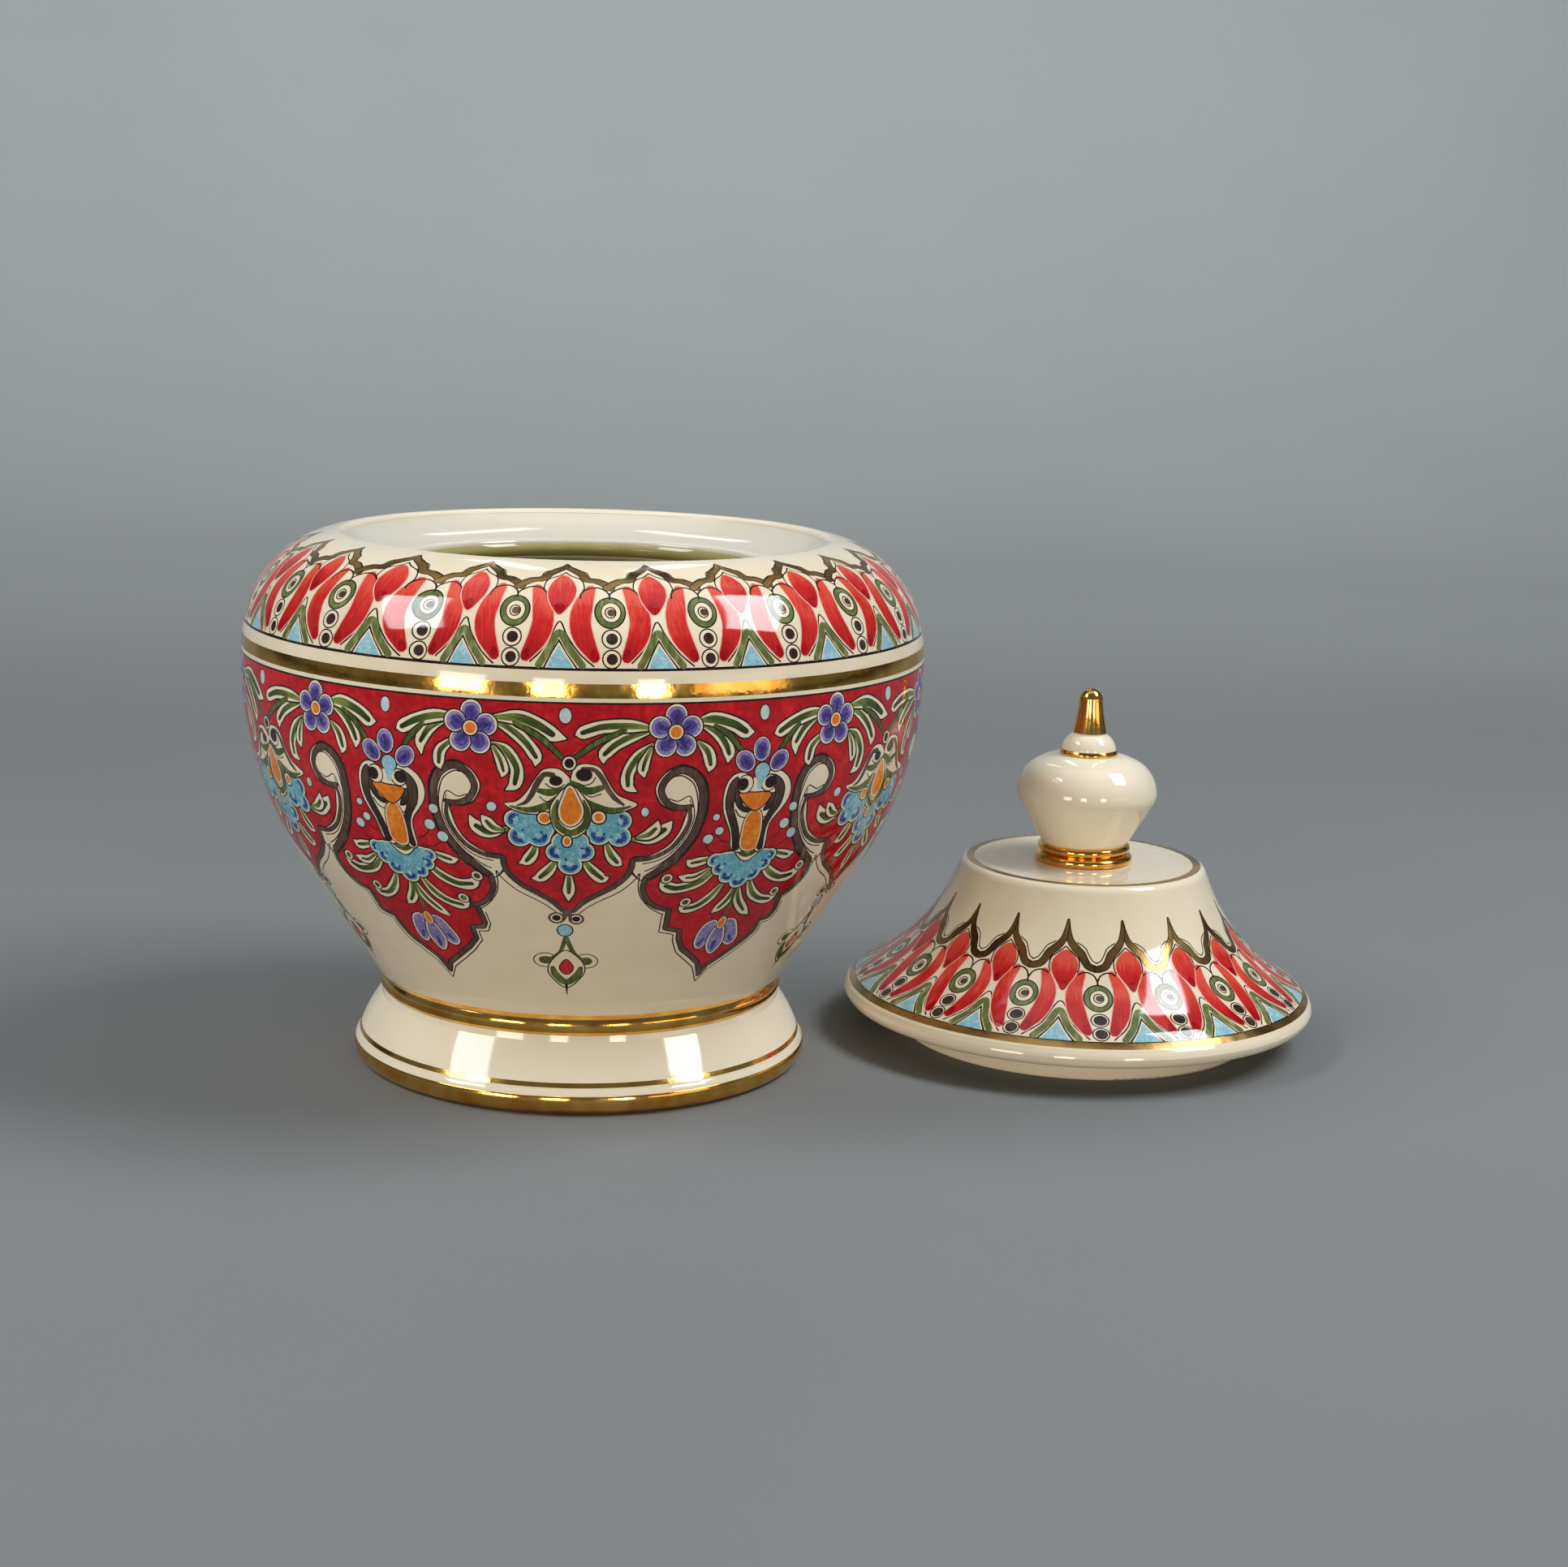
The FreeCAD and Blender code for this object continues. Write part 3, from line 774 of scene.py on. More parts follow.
def contours(c):
    """The brown lines round the lower lobes, each with a fine dark line outside it."""
    for flip in (1, -1):
        c.place(PALMETTE_AT + SCROLL_APART * flip, flip)
        c.outlined("brown", [(-6.4, 41.0), (-6.2, 43), (-7.2, 45.8), (-9.8, 48.9), (-13.2, 51.3),
                             (-16.4, 53.8), (-18.6, 57.0)], [1.0, 1.1, 1.2, 1.2, 1.2, 1.2, 1.0])
        c.stroke("edge", [(-4.2, 45), (-5.0, 46.9), (-8.2, 50.6), (-12.4, 53.4), (-15.2, 55.6),
                          (-17.2, 58.0)], 0.32)
        c.place(VASE_AT - SCROLL_APART * flip, flip)
        c.outlined("brown", [(-2.6, 47.0), (-2.7, 50), (-1.3, 53.3), (1.3, 56), (4.7, 57.3)], [1.1] * 5)
        c.stroke("edge", [(-4, 45), (-3.9, 49.4), (-2.7, 52.9), (0, 56.4), (3.3, 58.7)], 0.32)
    c.place(VASE_AT)
    left = [(-15.0, 57.3), (-14.5, 60.3), (-13.9, 63.8), (-9.9, 65.3), (-9.2, 68), (-7.1, 72),
            (-3.4, 75.3), (-0.8, 78), (0.8, 82.0)]
    right = [(17.3, 57.7), (17.3, 62.6), (16.2, 64.4), (13.3, 64.9), (13.0, 68.7), (10, 72.3),
             (5.8, 76), (2.1, 79.2), (0.8, 82.4)]
    for paint, width in (("edge", 1.6), ("brown", 1.0)):
        for points in (left, right):
            c.shape(paint, ribbon(sharp(points, 1.6), width))
    outer_left = [(-16.2, 58.5), (-15.9, 61.3), (-15.2, 65.1), (-11.2, 66.4), (-10.6, 68.8),
                  (-8.4, 73.1), (-4.6, 76.7), (-1.9, 79.4), (0.7, 85)]
    outer_right = [(18.7, 58.9), (18.6, 63.2), (17.2, 65.8), (14.6, 66.2), (14.4, 69.4), (11, 73.5),
                   (6.8, 77.4), (3.1, 80.6), (0.7, 85)]
    for points in (outer_left, outer_right):
        c.shape("edge", ribbon(sharp(points, 1.6), 0.32))


def palmette_fans(c):
    """The palmette's green leaves and its three turquoise fans."""
    c.leaves(
        ([(-14.3, 32.9), (-18.7, 34.1), (-22.0, 32.6)], (-23.6, 29.9), 1.7),
        ([(15.7, 35), (19.6, 34.9), (23.2, 32.6)], (25.0, 30.4), 1.7),
        ([(-15.5, 33.4), (-17.8, 32.8), (-19.4, 31.2)], (-20.6, 29.7), 1.2),
        ([(16.8, 34.6), (19.3, 33.9), (21.0, 32.3)], (21.6, 30.2), 1.2),
        ([(-7.4, 36.6), (-8.3, 39.4), (-9.8, 41.6)], (-11.6, 42.4), 1.3),
        ([(9.2, 36.2), (10.3, 39.4), (11.8, 41.6)], (12.9, 42.4), 1.3),
        ([(-2.6, 41.0), (-4.4, 44.0), (-6.6, 46.4)], (-8.6, 46.8), 1.4),
        ([(3.6, 40.6), (5.8, 44.0), (8.2, 46.4)], (9.8, 46.0), 1.4),
        ([(0.3, 45.0), (0.3, 48.6), (0.2, 51.0)], (0.1, 53.6), 1.2),
    )
    c.lobed([(-4.0, 29.0), (-12.6, 28.8), (-12.4, 33.0), (-9.4, 36.0), (-4.6, 34.6), (-3.4, 31.6)],
            [(-12.5, 30.3, 2.1), (-11.3, 34.7, 2.4), (-6.7, 34.5, 2.4)])
    c.lobed([(5.2, 29.0), (12.4, 28.2), (12.8, 32.6), (10.2, 34.8), (6.0, 34.4), (4.8, 31.6)],
            [(12.7, 30.0, 2.1), (12.3, 34.3, 2.3), (7.5, 33.7, 2.4)])
    c.lobed([(-2.4, 34.2), (-3.0, 38.2), (0.4, 42.0), (4.2, 38.0), (3.8, 34.2)],
            [(-2.5, 38.8, 2.2), (0.6, 42.4, 2.4), (3.8, 38.6, 2.2)])


def palmette_wings(c):
    """The pale leaves that curl out over the fans, with their brown and green strokes."""
    wings = (
        [(0.4, 19.1), (-2.2, 17.0), (-5.6, 17.3), (-7.7, 20), (-9.9, 23.5), (-12.2, 25.6),
         (-14.9, 26.2), (-12.6, 27.7), (-9, 28.5), (-4.6, 28.0), (-1.0, 24.6), (0.6, 21.6)],
        [(0.9, 19.1), (1.9, 16.5), (4.2, 15.6), (7.5, 16.5), (9.5, 20), (11.9, 23.4), (16.4, 25.6),
         (14.6, 26.9), (10.7, 27.9), (6.5, 27.2), (3.1, 25.0), (1.2, 21.6)],
    )
    for points in wings:
        c.backed("cream", points, 0.35)
    c.stroke("brown", [(-3.4, 18.5), (-5.4, 18.4), (-7.0, 20.4), (-8.2, 23.2), (-9.8, 25.6),
                       (-12.0, 26.6)],
             [1.4, 1.3, 1.5, 1.4, 1.0, 0.3])
    c.stroke("brown", [(3.6, 16.8), (6.2, 17.0), (8.1, 19.0), (9.5, 21.8), (11.2, 24.2), (13.2, 25.8)],
             [1.0, 1.1, 1.3, 1.3, 1.2, 0.7])
    c.oval("edge", -2.7, 19.9, 1.6, 1.3)
    c.oval("edge", 3.9, 18.3, 2.0, 1.6)
    c.stroke("edge", [(-5.2, 20.6), (-3.9, 21.6), (-2.0, 21.7), (-0.6, 20.7)], 0.3)
    c.stroke("edge", [(2.2, 20.2), (4.0, 20.9), (5.8, 20.2), (6.6, 18.8)], 0.3)
    c.stroke("green", [(-6.8, 22.5), (-4.0, 22.9), (-1.4, 21.8)], [1.2, 1.9, 1.1])
    c.stroke("green", [(0.4, 20.6), (-2.2, 24.4), (-5.2, 26.5), (-9.3, 27.6), (-13.7, 26.8)],
             [0.8, 1.8, 2.0, 1.5, 0.4])
    c.stroke("green", [(1.1, 20.2), (4.8, 22.3), (8.1, 21.4)], [1.0, 1.9, 1.4])
    c.stroke("green", [(1.0, 20.6), (3.1, 24.4), (6.9, 26.5), (10.7, 27.3), (15.1, 26.2)],
             [0.8, 1.9, 2.0, 1.5, 0.4])
    c.stroke("edge", [(-6.6, 24.0), (-5.0, 25.2), (-3.0, 24.8)], 0.28)
    c.stroke("edge", [(3.6, 22.8), (5.6, 23.8), (8.0, 23.0)], 0.28)


def palmette_cup(c):
    """The cup in the palmette's middle, with its orange drop."""
    cup = [(-3.4, 25.4), (-3.9, 29.0), (-2.6, 32.8), (0.8, 34.7), (4.1, 32.8), (5.5, 29.0), (4.8, 25.4),
           (0.7, 21.0)]
    c.backed("cream", cup, 0.35)
    c.stroke("green", [(-2.2, 24.6), (-3.0, 27.6), (-2.4, 31.2), (0.8, 33.4), (4.1, 31.2), (4.7, 27.6),
                       (3.8, 24.6)],
             [0.5, 1.5, 1.7, 1.8, 1.7, 1.5, 0.5])
    drop = [(0.6, 21.4), (2.4, 24.4), (3.4, 27.4), (2.6, 30.0), (0.7, 31.2), (-1.1, 30.0), (-1.7, 27.4),
            (-0.9, 24.4)]
    c.rimmed("orange", drop, 0.45, 0.3)


def palmette(c):
    """The turquoise palmette, and the spots about it."""
    c.place(PALMETTE_AT)
    palmette_fans(c)
    palmette_wings(c)
    c.dot("orange", -5.4, 29.6, 1.3, rim=0.35)
    c.dot("orange", 7.4, 29.1, 1.1, rim=0.5)
    palmette_cup(c)
    c.dot("orange", -0.1, 35.7, 0.75, 1.15, rim=0.35)
    c.dot("edge", 0.4, 15.5, 1.15, 1.25, rim=0.4)
    c.pearl(-0.6, 4.1, 1.4, 1.8)
    c.pearl(-18.1, 27.2, 1.2)
    c.pearl(18.4, 27.8, 0.9, 1.2)


def sprays(c):
    """The green leaves that spring from both sides of each flower."""
    c.place(PALMETTE_AT)
    c.leaves(
        ([(-17.8, 11.4), (-14.6, 13.0), (-12.0, 17.0), (-12.4, 21.0)], (-14.6, 22.7), 1.5),
        ([(-17.5, 12.3), (-15.9, 15.2), (-15.1, 18.0)], (-15.6, 19.5), 0.9),
        ([(19.9, 11.0), (16.6, 13.8), (14.3, 17.6), (14.2, 20.9)], (16.3, 22.5), 1.3),
        ([(19.5, 12.0), (18.1, 15.2), (17.7, 17.2)], (18.1, 18.9), 0.9),
        ([(-17.6, 5.8), (-13.0, 8.0), (-9.6, 11.0), (-7.4, 14.2)], (-7.6, 16.4), 1.4),
        ([(19.8, 7.4), (15.0, 8.8), (11.2, 10.8), (8.6, 13.2)], (8.4, 15.4), 1.4),
        ([(-18.0, 5.2), (-12.0, 4.9), (-7.6, 6.2), (-3.6, 8.6)], (-0.3, 9.6), 2.0),
        ([(19.6, 6.9), (14.8, 6.4), (8.2, 6.6), (3.4, 8.1)], (1.8, 8.6), 1.5),
    )
    c.stroke("edge", [(-12.2, 6.6), (-8.8, 8.0), (-5.2, 10.4), (-0.8, 14.8)], [1.4, 1.9, 1.9, 1.4])
    c.stroke("green", [(-12.6, 6.0), (-8.8, 8.0), (-5.2, 10.4), (-1.0, 14.5)], [1.0, 1.2, 1.2, 0.9])
    c.stroke("edge", [(13.0, 7.6), (7.0, 10.3), (1.7, 14.2)], [1.4, 1.9, 1.5])
    c.stroke("green", [(13.4, 7.4), (7.0, 10.3), (1.9, 14.0)], [1.0, 1.2, 1.0])
    c.place(VASE_AT)
    c.leaves(
        ([(-15.7, 10.7), (-13.4, 13.0), (-12.4, 16.2)], (-12.8, 18.0), 1.3),
        ([(19.6, 10.9), (16.2, 13.8), (15.5, 17.0)], (15.9, 18.6), 1.2),
        ([(-15.4, 6.2), (-11.2, 8.4), (-8.8, 11.4), (-7.8, 13.8)], (-8.0, 16.0), 1.4),
        ([(17.4, 6.6), (13.4, 8.8), (11.0, 12.2)], (11.1, 15.4), 1.4),
        ([(-16.3, 5.6), (-12.2, 5.2), (-7.0, 6.6), (-3.6, 8.6)], (-1.4, 8.8), 1.9),
        ([(20.9, 5.4), (15.0, 5.7), (9.8, 7.2), (6.0, 9.2)], (4.5, 9.8), 1.6),
    )
    c.stroke("edge", [(-11.6, 7.0), (-8.0, 9.2), (-4.4, 13.4)], [1.3, 1.9, 1.6])
    c.stroke("green", [(-11.8, 6.7), (-8.0, 9.2), (-4.5, 13.2)], [0.9, 1.2, 1.0])
    c.stroke("edge", [(11.6, 8.0), (8.6, 10.8), (6.2, 14.0)], [1.3, 1.9, 1.6])
    c.stroke("green", [(11.8, 7.7), (8.6, 10.8), (6.4, 13.8)], [0.9, 1.2, 1.0])


def vase_fan(c):
    """The leaves and the turquoise fan under the vase."""
    c.leaves(
        ([(-6.0, 45.0), (-9.6, 48.6), (-14.6, 50.2), (-18.0, 49.2)], (-19.6, 46.0), 1.5),
        ([(7.0, 44.0), (10, 47.7), (14, 50), (18, 49.8)], (21.0, 46.2), 1.5),
        ([(-3.0, 49.6), (-5.2, 53.8), (-8, 56.6), (-11, 57.2)], (-12.6, 54.6), 1.3),
        ([(4.3, 49.0), (6.7, 53.7), (9.7, 56.3), (13.3, 57.2)], (15.9, 54.6), 1.3),
        ([(-7.9, 44.6), (-11.0, 46.8), (-13.4, 47.0)], (-15.4, 46.4), 0.8),
        ([(-7.6, 41.4), (-10.6, 42.2), (-13.0, 42.6)], (-14.4, 41.6), 1.0),
        ([(9.6, 41.4), (12.2, 42.4), (14.4, 43.0)], (16.4, 42.6), 1.0),
        ([(1.1, 50.6), (0.2, 55.0), (-1.6, 58.0)], (-3.0, 59.6), 1.1),
        ([(1.6, 50.6), (3.4, 56.0), (6.4, 60.0)], (8.4, 61.8), 1.1),
    )
    for x, y in ((-18.2, 46.9), (20.0, 47.2), (-11.4, 55.0), (14.3, 54.8)):
        c.rings(x, y, ("edge", 1.7), ("cream", 1.35), ("green", 0.9))
    c.stroke("green", [(1.2, 51.0), (1.4, 54.0), (1.6, 58.0), (1.3, 62)], [1.0, 1.0, 0.8, 0.6])
    c.lobed([(-6.8, 41.2), (-4.0, 45.2), (1.2, 48.6), (6.0, 45.8), (8.8, 41.6), (4.8, 40.6),
             (1.4, 42.0), (-2.4, 40.6)],
            [(-7.0, 42.2, 1.5), (-4.9, 44.6, 1.8), (-2.2, 47.1, 2.0), (1.3, 49.0, 2.1),
             (4.7, 47.2, 1.9), (7.2, 44.6, 1.8), (8.7, 42.3, 1.4)])
    cup = [(-2.2, 37.6), (-1.4, 40.9), (1.7, 43.2), (4.8, 40.9), (5.7, 37.8)]
    c.backed("cream", cup, 0.35)
    c.stroke("green", [(-1.7, 38.2), (-0.8, 40.3), (1.7, 41.5), (4.2, 40.3), (5.2, 38.5)],
             [0.9, 1.2, 1.3, 1.2, 0.9])


def vase_handles(c):
    """The dark brown scrolls either side of the vase, on bare glaze."""
    for points in (
        [(-0.6, 20.9), (-3.4, 18.9), (-6.0, 19.4), (-7.6, 21.7), (-8.0, 25.0), (-7.5, 28.3),
         (-6.2, 31.2), (-4.5, 34.6), (-3.3, 39.1), (-0.2, 40.0), (1.2, 34.1), (0.0, 24.7)],
        [(2.3, 20.0), (5.2, 18.8), (7.9, 19.6), (10.1, 21.7), (10.9, 24.6), (10.2, 27.3), (8.3, 29.9),
         (6.5, 32.1), (5.9, 34.5), (6.0, 40.0), (3.5, 40.1), (2.6, 34.2), (2.4, 24.9)],
    ):
        c.backed("cream", points, 0.35)
    for points in (
        [(-4.9, 19.9), (-6.5, 21.3), (-7.2, 24.0), (-7.1, 27.0), (-6.0, 30.1), (-4.4, 33.5),
         (-3.4, 36.9), (-2.8, 39.4), (-1.4, 39.5), (-1.8, 37.1), (-2.4, 34.3), (-3.8, 30.9),
         (-4.9, 28.3), (-5.2, 26.3), (-4.8, 24.2), (-4.6, 22.6)],
        [(-4.5, 23.2), (-3.6, 25.4), (-2.3, 27.6), (-0.2, 28.7), (-0.8, 29.2), (-2.1, 28.9),
         (-3.4, 28.0), (-4.5, 26.5), (-5.0, 24.7)],
        [(3.2, 20.3), (5.3, 20.0), (7.5, 21.3), (8.8, 23.3), (8.9, 25.8), (8.1, 28.5), (6.4, 30.9),
         (5.4, 33.5), (5.2, 36.1), (5.5, 40.0), (4.3, 39.9), (3.9, 36.5), (3.9, 33.3), (4.9, 30.5),
         (5.9, 28.0), (6.4, 25.6), (6.2, 23.6), (5.1, 22.4)],
        [(6.2, 24.7), (6.1, 26.7), (5.3, 28.6), (3.6, 29.2), (4.1, 27.9), (5.0, 26.3), (5.5, 24.8)],
    ):
        c.blob("edge", points, 0.25)
        c.blob("umber", points, -0.12, fade=(points[0], points[len(points) // 2]))
    for points in ([(-4.4, 28.2), (-3.0, 30.1), (-1.0, 30.8), (0.5, 30.3), (0.4, 29.3)],
                   [(2.5, 29.5), (2.8, 30.5), (4.2, 31.1), (5.1, 30.3)]):
        c.stroke("edge", points, 0.35)


def vase_body(c):
    """The orange vase, and the curls on its shoulders."""
    stem = [(1.2, 28.7), (2.7, 29.7), (3.5, 31.9), (3.8, 34.9), (3.7, 37.9), (3.2, 39.6), (1.6, 40.1),
            (-0.2, 39.4), (-1.1, 37.7), (-1.2, 34.4), (-1.1, 31.8), (-0.5, 30.2), (0.4, 29.3)]
    c.rimmed("orange", stem, 0.3, 0.3)
    c.blob("cream", [(-0.4, 20.4), (2.0, 20.4), (2.0, 23.2), (3.1, 24.4), (0.5, 24.8), (-1.3, 24.1),
                     (-0.3, 23.0)])
    bowl_of_vase = [(-3.8, 24.2), (-1.8, 24.0), (0.5, 24.3), (2.8, 24.3), (5.1, 24.9), (4.3, 26.7),
                    (2.9, 28.1), (1.2, 28.9), (-0.6, 28.0), (-2.3, 26.5)]
    c.backed("orange", bowl_of_vase, 0.35)
    c.rings(-2.6, 21.8, ("edge", 2.35, 2.5), ("cream", 2.05, 2.2))
    c.oval("edge", -3.3, 21.8, 1.6, 1.65)
    c.rings(4.1, 22.0, ("edge", 2.3), ("cream", 2.0))
    c.oval("edge", 4.6, 21.8, 1.75, 1.6)


def vase_flower(c):
    """Three violet petals about a pale blue heart, over the vase's mouth."""
    for x, y in ((-3.2, 15.9), (6.4, 16.4), (1.1, 13.2)):
        ahead = np.array([x - 1.6, y - 21.0])
        ahead /= np.hypot(*ahead)
        side = np.array([-ahead[1], ahead[0]])
        turn = np.linspace(0, 2 * math.pi, 16, endpoint=False)
        long_way = np.outer(np.cos(turn), 3.0 * ahead)
        ring = np.array([x, y]) + long_way + np.outer(np.sin(turn), 2.35 * side)
        c.shape("edge", grown(ring, 0.35))
        c.shape("cream", ring)
        c.petal(np.array([x, y]), ahead, 2.1, 1.3)
    c.rings(1.7, 18.7, ("edge", 2.4, 2.35), ("sky", 2.05, 2.0))
    c.blob("sky", [(0.2, 19.6), (3.2, 19.6), (2.3, 21.6), (1.9, 23.2), (0.9, 23.2), (0.6, 21.6)])


def vase(c):
    """The orange vase with its flower, its fan and the spots and lines round them."""
    c.place(VASE_AT)
    vase_fan(c)
    vase_handles(c)
    vase_body(c)
    vase_flower(c)
    for x, y, r in ((-9.1, 30, 0.9), (-7.6, 33.8, 1.1), (-10.2, 35.9, 1.3), (12.6, 29.1, 1.2),
                    (10.8, 33.5, 1.4), (13.7, 36.5, 1.4)):
        c.pearl(x, y, r)
    for points in (
        [(-10.8, 36.8), (-9.2, 39.4), (-6.0, 40.2), (-3.4, 39.4)],
        [(-8.0, 34.8), (-6.6, 36.6), (-4.4, 37.2)],
        [(13.2, 37.8), (10.6, 39.6), (7.4, 39.6)],
        [(10.6, 34.8), (8.8, 36.8), (6.8, 37.6)],
    ):
        c.stroke("deep", points, 0.35)
    c.pearl(1.4, 4.3, 1.25, 1.8)


def tulip(c):
    """The violet tulip in the point of the vase's lobe."""
    c.place(VASE_AT)
    left = [(-0.6, 63.0), (-2.9, 63.6), (-4.1, 66.8), (-3.9, 70.6), (-2.3, 72.2), (-0.9, 69.4),
            (-0.3, 66.0)]
    right = [(2.6, 63.0), (4.9, 63.4), (6.6, 66.6), (7.6, 70.2), (6.0, 72.0), (3.6, 69.8), (2.5, 66.2)]
    middle = [(1.2, 64.0), (3.0, 67.4), (3.5, 71.4), (1.7, 74.6), (-0.3, 71.4), (-0.3, 67.4)]
    for points in (left, right, middle):
        c.rimmed("lilac", points, rim=0.4, edge=0.35)
    for points, width in (
        ([(-3.0, 70.8), (-2.2, 69.0)], 0.9),
        ([(6.3, 70.6), (5.2, 69.0)], 0.9),
        ([(1.6, 73.0), (1.5, 70.6)], 1.1),
    ):
        c.stroke("navy", points, width)
    c.dot("orange", 1.3, 63.7, 0.9, 1.9, rim=0.3, edge=0.3)


def pendant(c):
    """The scrolls and the three-lobed drop that hang from a palmette's point."""
    c.place(PALMETTE_AT)
    for x, y, ring, spot in ((-2.9, 59.6, 1.6, 1.1), (1.9, 59.9, 1.5, 1.0)):
        c.rings(x, y, ("brown", ring + 0.45), ("cream", ring - 0.1), ("edge", spot))
    c.stroke("brown", [(-1.2, 56.6), (-0.7, 58.4), (-1.2, 60.2)], [1.4, 1.2, 0.9])
    c.stroke("brown", [(0.7, 56.6), (0.3, 58.4), (0.6, 60.2)], [1.2, 1.0, 0.8])
    c.rings(-0.9, 64.0, ("edge", 2.1, 2.3), ("sky", 1.75, 1.95))
    c.stroke("green", [(-1, 66.6), (-2.1, 71.6), (-4.0, 74.2), (-5.6, 74.8)], [0.8, 1.1, 1.3, 1.6])
    c.stroke("green", [(-0.4, 66.6), (0.9, 71.6), (2.4, 74.0), (4.0, 75.0)], [0.8, 1.1, 1.3, 1.6])
    for x, y in ((-5.9, 74.9), (4.0, 75.1)):
        c.rings(x, y, ("edge", 3.1, 2.7), ("cream", 2.8, 2.4), ("green", 1.7, 1.4))
    c.stroke("green", [(-1.0, 68.0), (-2.2, 71.8), (-3.8, 73.8), (-5.4, 74.6)], [0.8, 1.1, 1.2, 1.0])
    c.stroke("green", [(-0.5, 68.0), (0.8, 71.8), (2.2, 73.8), (3.6, 74.8)], [0.8, 1.1, 1.2, 1.0])
    pod = [(-0.8, 71.4), (2.4, 74.4), (3.6, 77.8), (2.6, 81.0), (-0.9, 84.8), (-4.4, 81.0),
           (-5.2, 77.8), (-3.8, 74.4)]
    c.backed("cream", pod, 0.35)
    c.stroke("green", [(-4.2, 77.6), (-3.5, 80.2), (-0.9, 83.0), (1.9, 80.2), (2.7, 77.6)],
             [1.2, 2.0, 2.1, 2.0, 1.2])
    c.stroke("edge", [(-0.9, 84.0), (-0.8, 87.6)], [0.8, 0.2])
    drop = [(-0.8, 74.6), (0.4, 76.2), (0.8, 77.8), (0.2, 79.2), (-0.8, 80.0), (-1.8, 79.2),
            (-2.4, 77.8), (-2.0, 76.2)]
    c.backed("red", drop, 0.3)


def belly():
    """The bowl's whole decoration."""
    c = Canvas(jar_side, BELLY_REPEATS, -32.5, -0.1, 97.3)
    red_ground(c)
    c.band("edge", 0.9, 1.4)
    c.band("gold", 95.6, 98.0)
    for flip in (1, -1):
        scroll(c, PALMETTE_AT + SCROLL_APART * flip, flip)
    contours(c)
    sprays(c)
    vase(c)
    tulip(c)
    palmette(c)
    pendant(c)
    flower(c, 13.8)
    flower(c, -17.3, 3.0)
    return c


# ---------------------------------------------------------------- petal borders

SHOULDER_UNITS = 23
LID_UNITS = 17
CROWN_LINE = 48.9           # where the gold line on the lid's crown starts, mm up from the rim's edge
SHOULDER_EYES = (-45.2, -26.4, -11.6, 3.8, 19.2, 33.9, 50.0)   # angles of the eyes seen in front
LID_EYES = (-47.7, -26.8, -4.3, 17.7, 38.7, 60.4)


def spacing(units, seen):
    """Turns evenly spaced units to the brush's own uneven spacing: even angle to real angle."""
    step = 360 / units
    even = [step * (k + 0.5) for k in range(-units, 2 * units)]
    gap = (360 - (seen[-1] - seen[0])) / (units - len(seen) + 1)
    one_round = list(seen) + [seen[-1] + gap * (k + 1) for k in range(units - len(seen))]
    first = min(range(units), key=lambda k: abs(seen[0] - even[units + k] + 360)) - units
    real = []
    for k in range(-units, 2 * units):
        turns, place = divmod(k - first, units)
        real.append(one_round[place] + 360 * turns)
    return np.array(even), np.array(real)


def respaced(units, seen):
    """The function that skin() moves each point's angle with."""
    even, real = spacing(units, seen)
    return lambda angle: np.interp(angle, even, real)


def eye(c, x, y, rx, ry, ring):
    """The round green eye between two petals."""
    c.rings(x, y, ("edge", rx + 0.35, ry + 0.35), ("moss", rx, ry))
    width = ring * 0.86
    height = ring * 0.98
    c.rings(x + 0.2, y, ("edge", width + 0.25, height + 0.25), ("cream", width, height))
    width = ring * 0.56
    height = ring * 0.62
    c.rings(x + 0.1, y + 0.1, ("edge", width, height), ("cream", width - 0.3, height - 0.3))
    c.oval("brown", x + 0.3, y + 0.1, ring * 0.4)


def bead(c, x, y, r, fill=0.68):
    """A ringed brown spot under an eye; fill is how much of the ring the brown takes up."""
    c.rings(x, y, ("edge", r + 0.35), ("cream", r))
    c.rings(x + 0.1, y, ("edge", r * fill), ("umber", r * fill - 0.15))


def border_petal(c, outline, fade, dab):
    """A red petal whose wash bleeds a little into the glaze, with a crimson dab at its root."""
    c.shape("blush", grown(outline, 0.28))
    c.shape("red", outline, fade)
    c.blob("crimson", dab)


def leaning_petals(c, spine, widths, fade, dab):
    """The two petals that lean out over an arch."""
    for flip in (1, -1):
        c.place(0, flip)
        border_petal(c, ribbon(spine, widths), fade, dab)


def arch(c, over, moss, moss_width, outer, bare, sky):
    """The pointed arch between two eyes: a fine line over a green stroke, and a pale blue heart."""
    c.place(0)
    c.stroke("edge", over, 0.4)
    c.stroke("moss", moss, moss_width)
    for paint, outline in (("edge", outer), ("cream", bare), ("sky", sky)):
        c.shape(paint, outline)


def ridge(c, inner, gold_line, widths, outer):
    """The dull gold line that climbs to a point between two units, with a fine line on each side."""
    for flip in (1, -1):
        c.place(0, flip)
        c.stroke("edge", inner, 0.35)
        c.outlined("olive", gold_line, widths)
        c.stroke("edge", outer, 0.3)


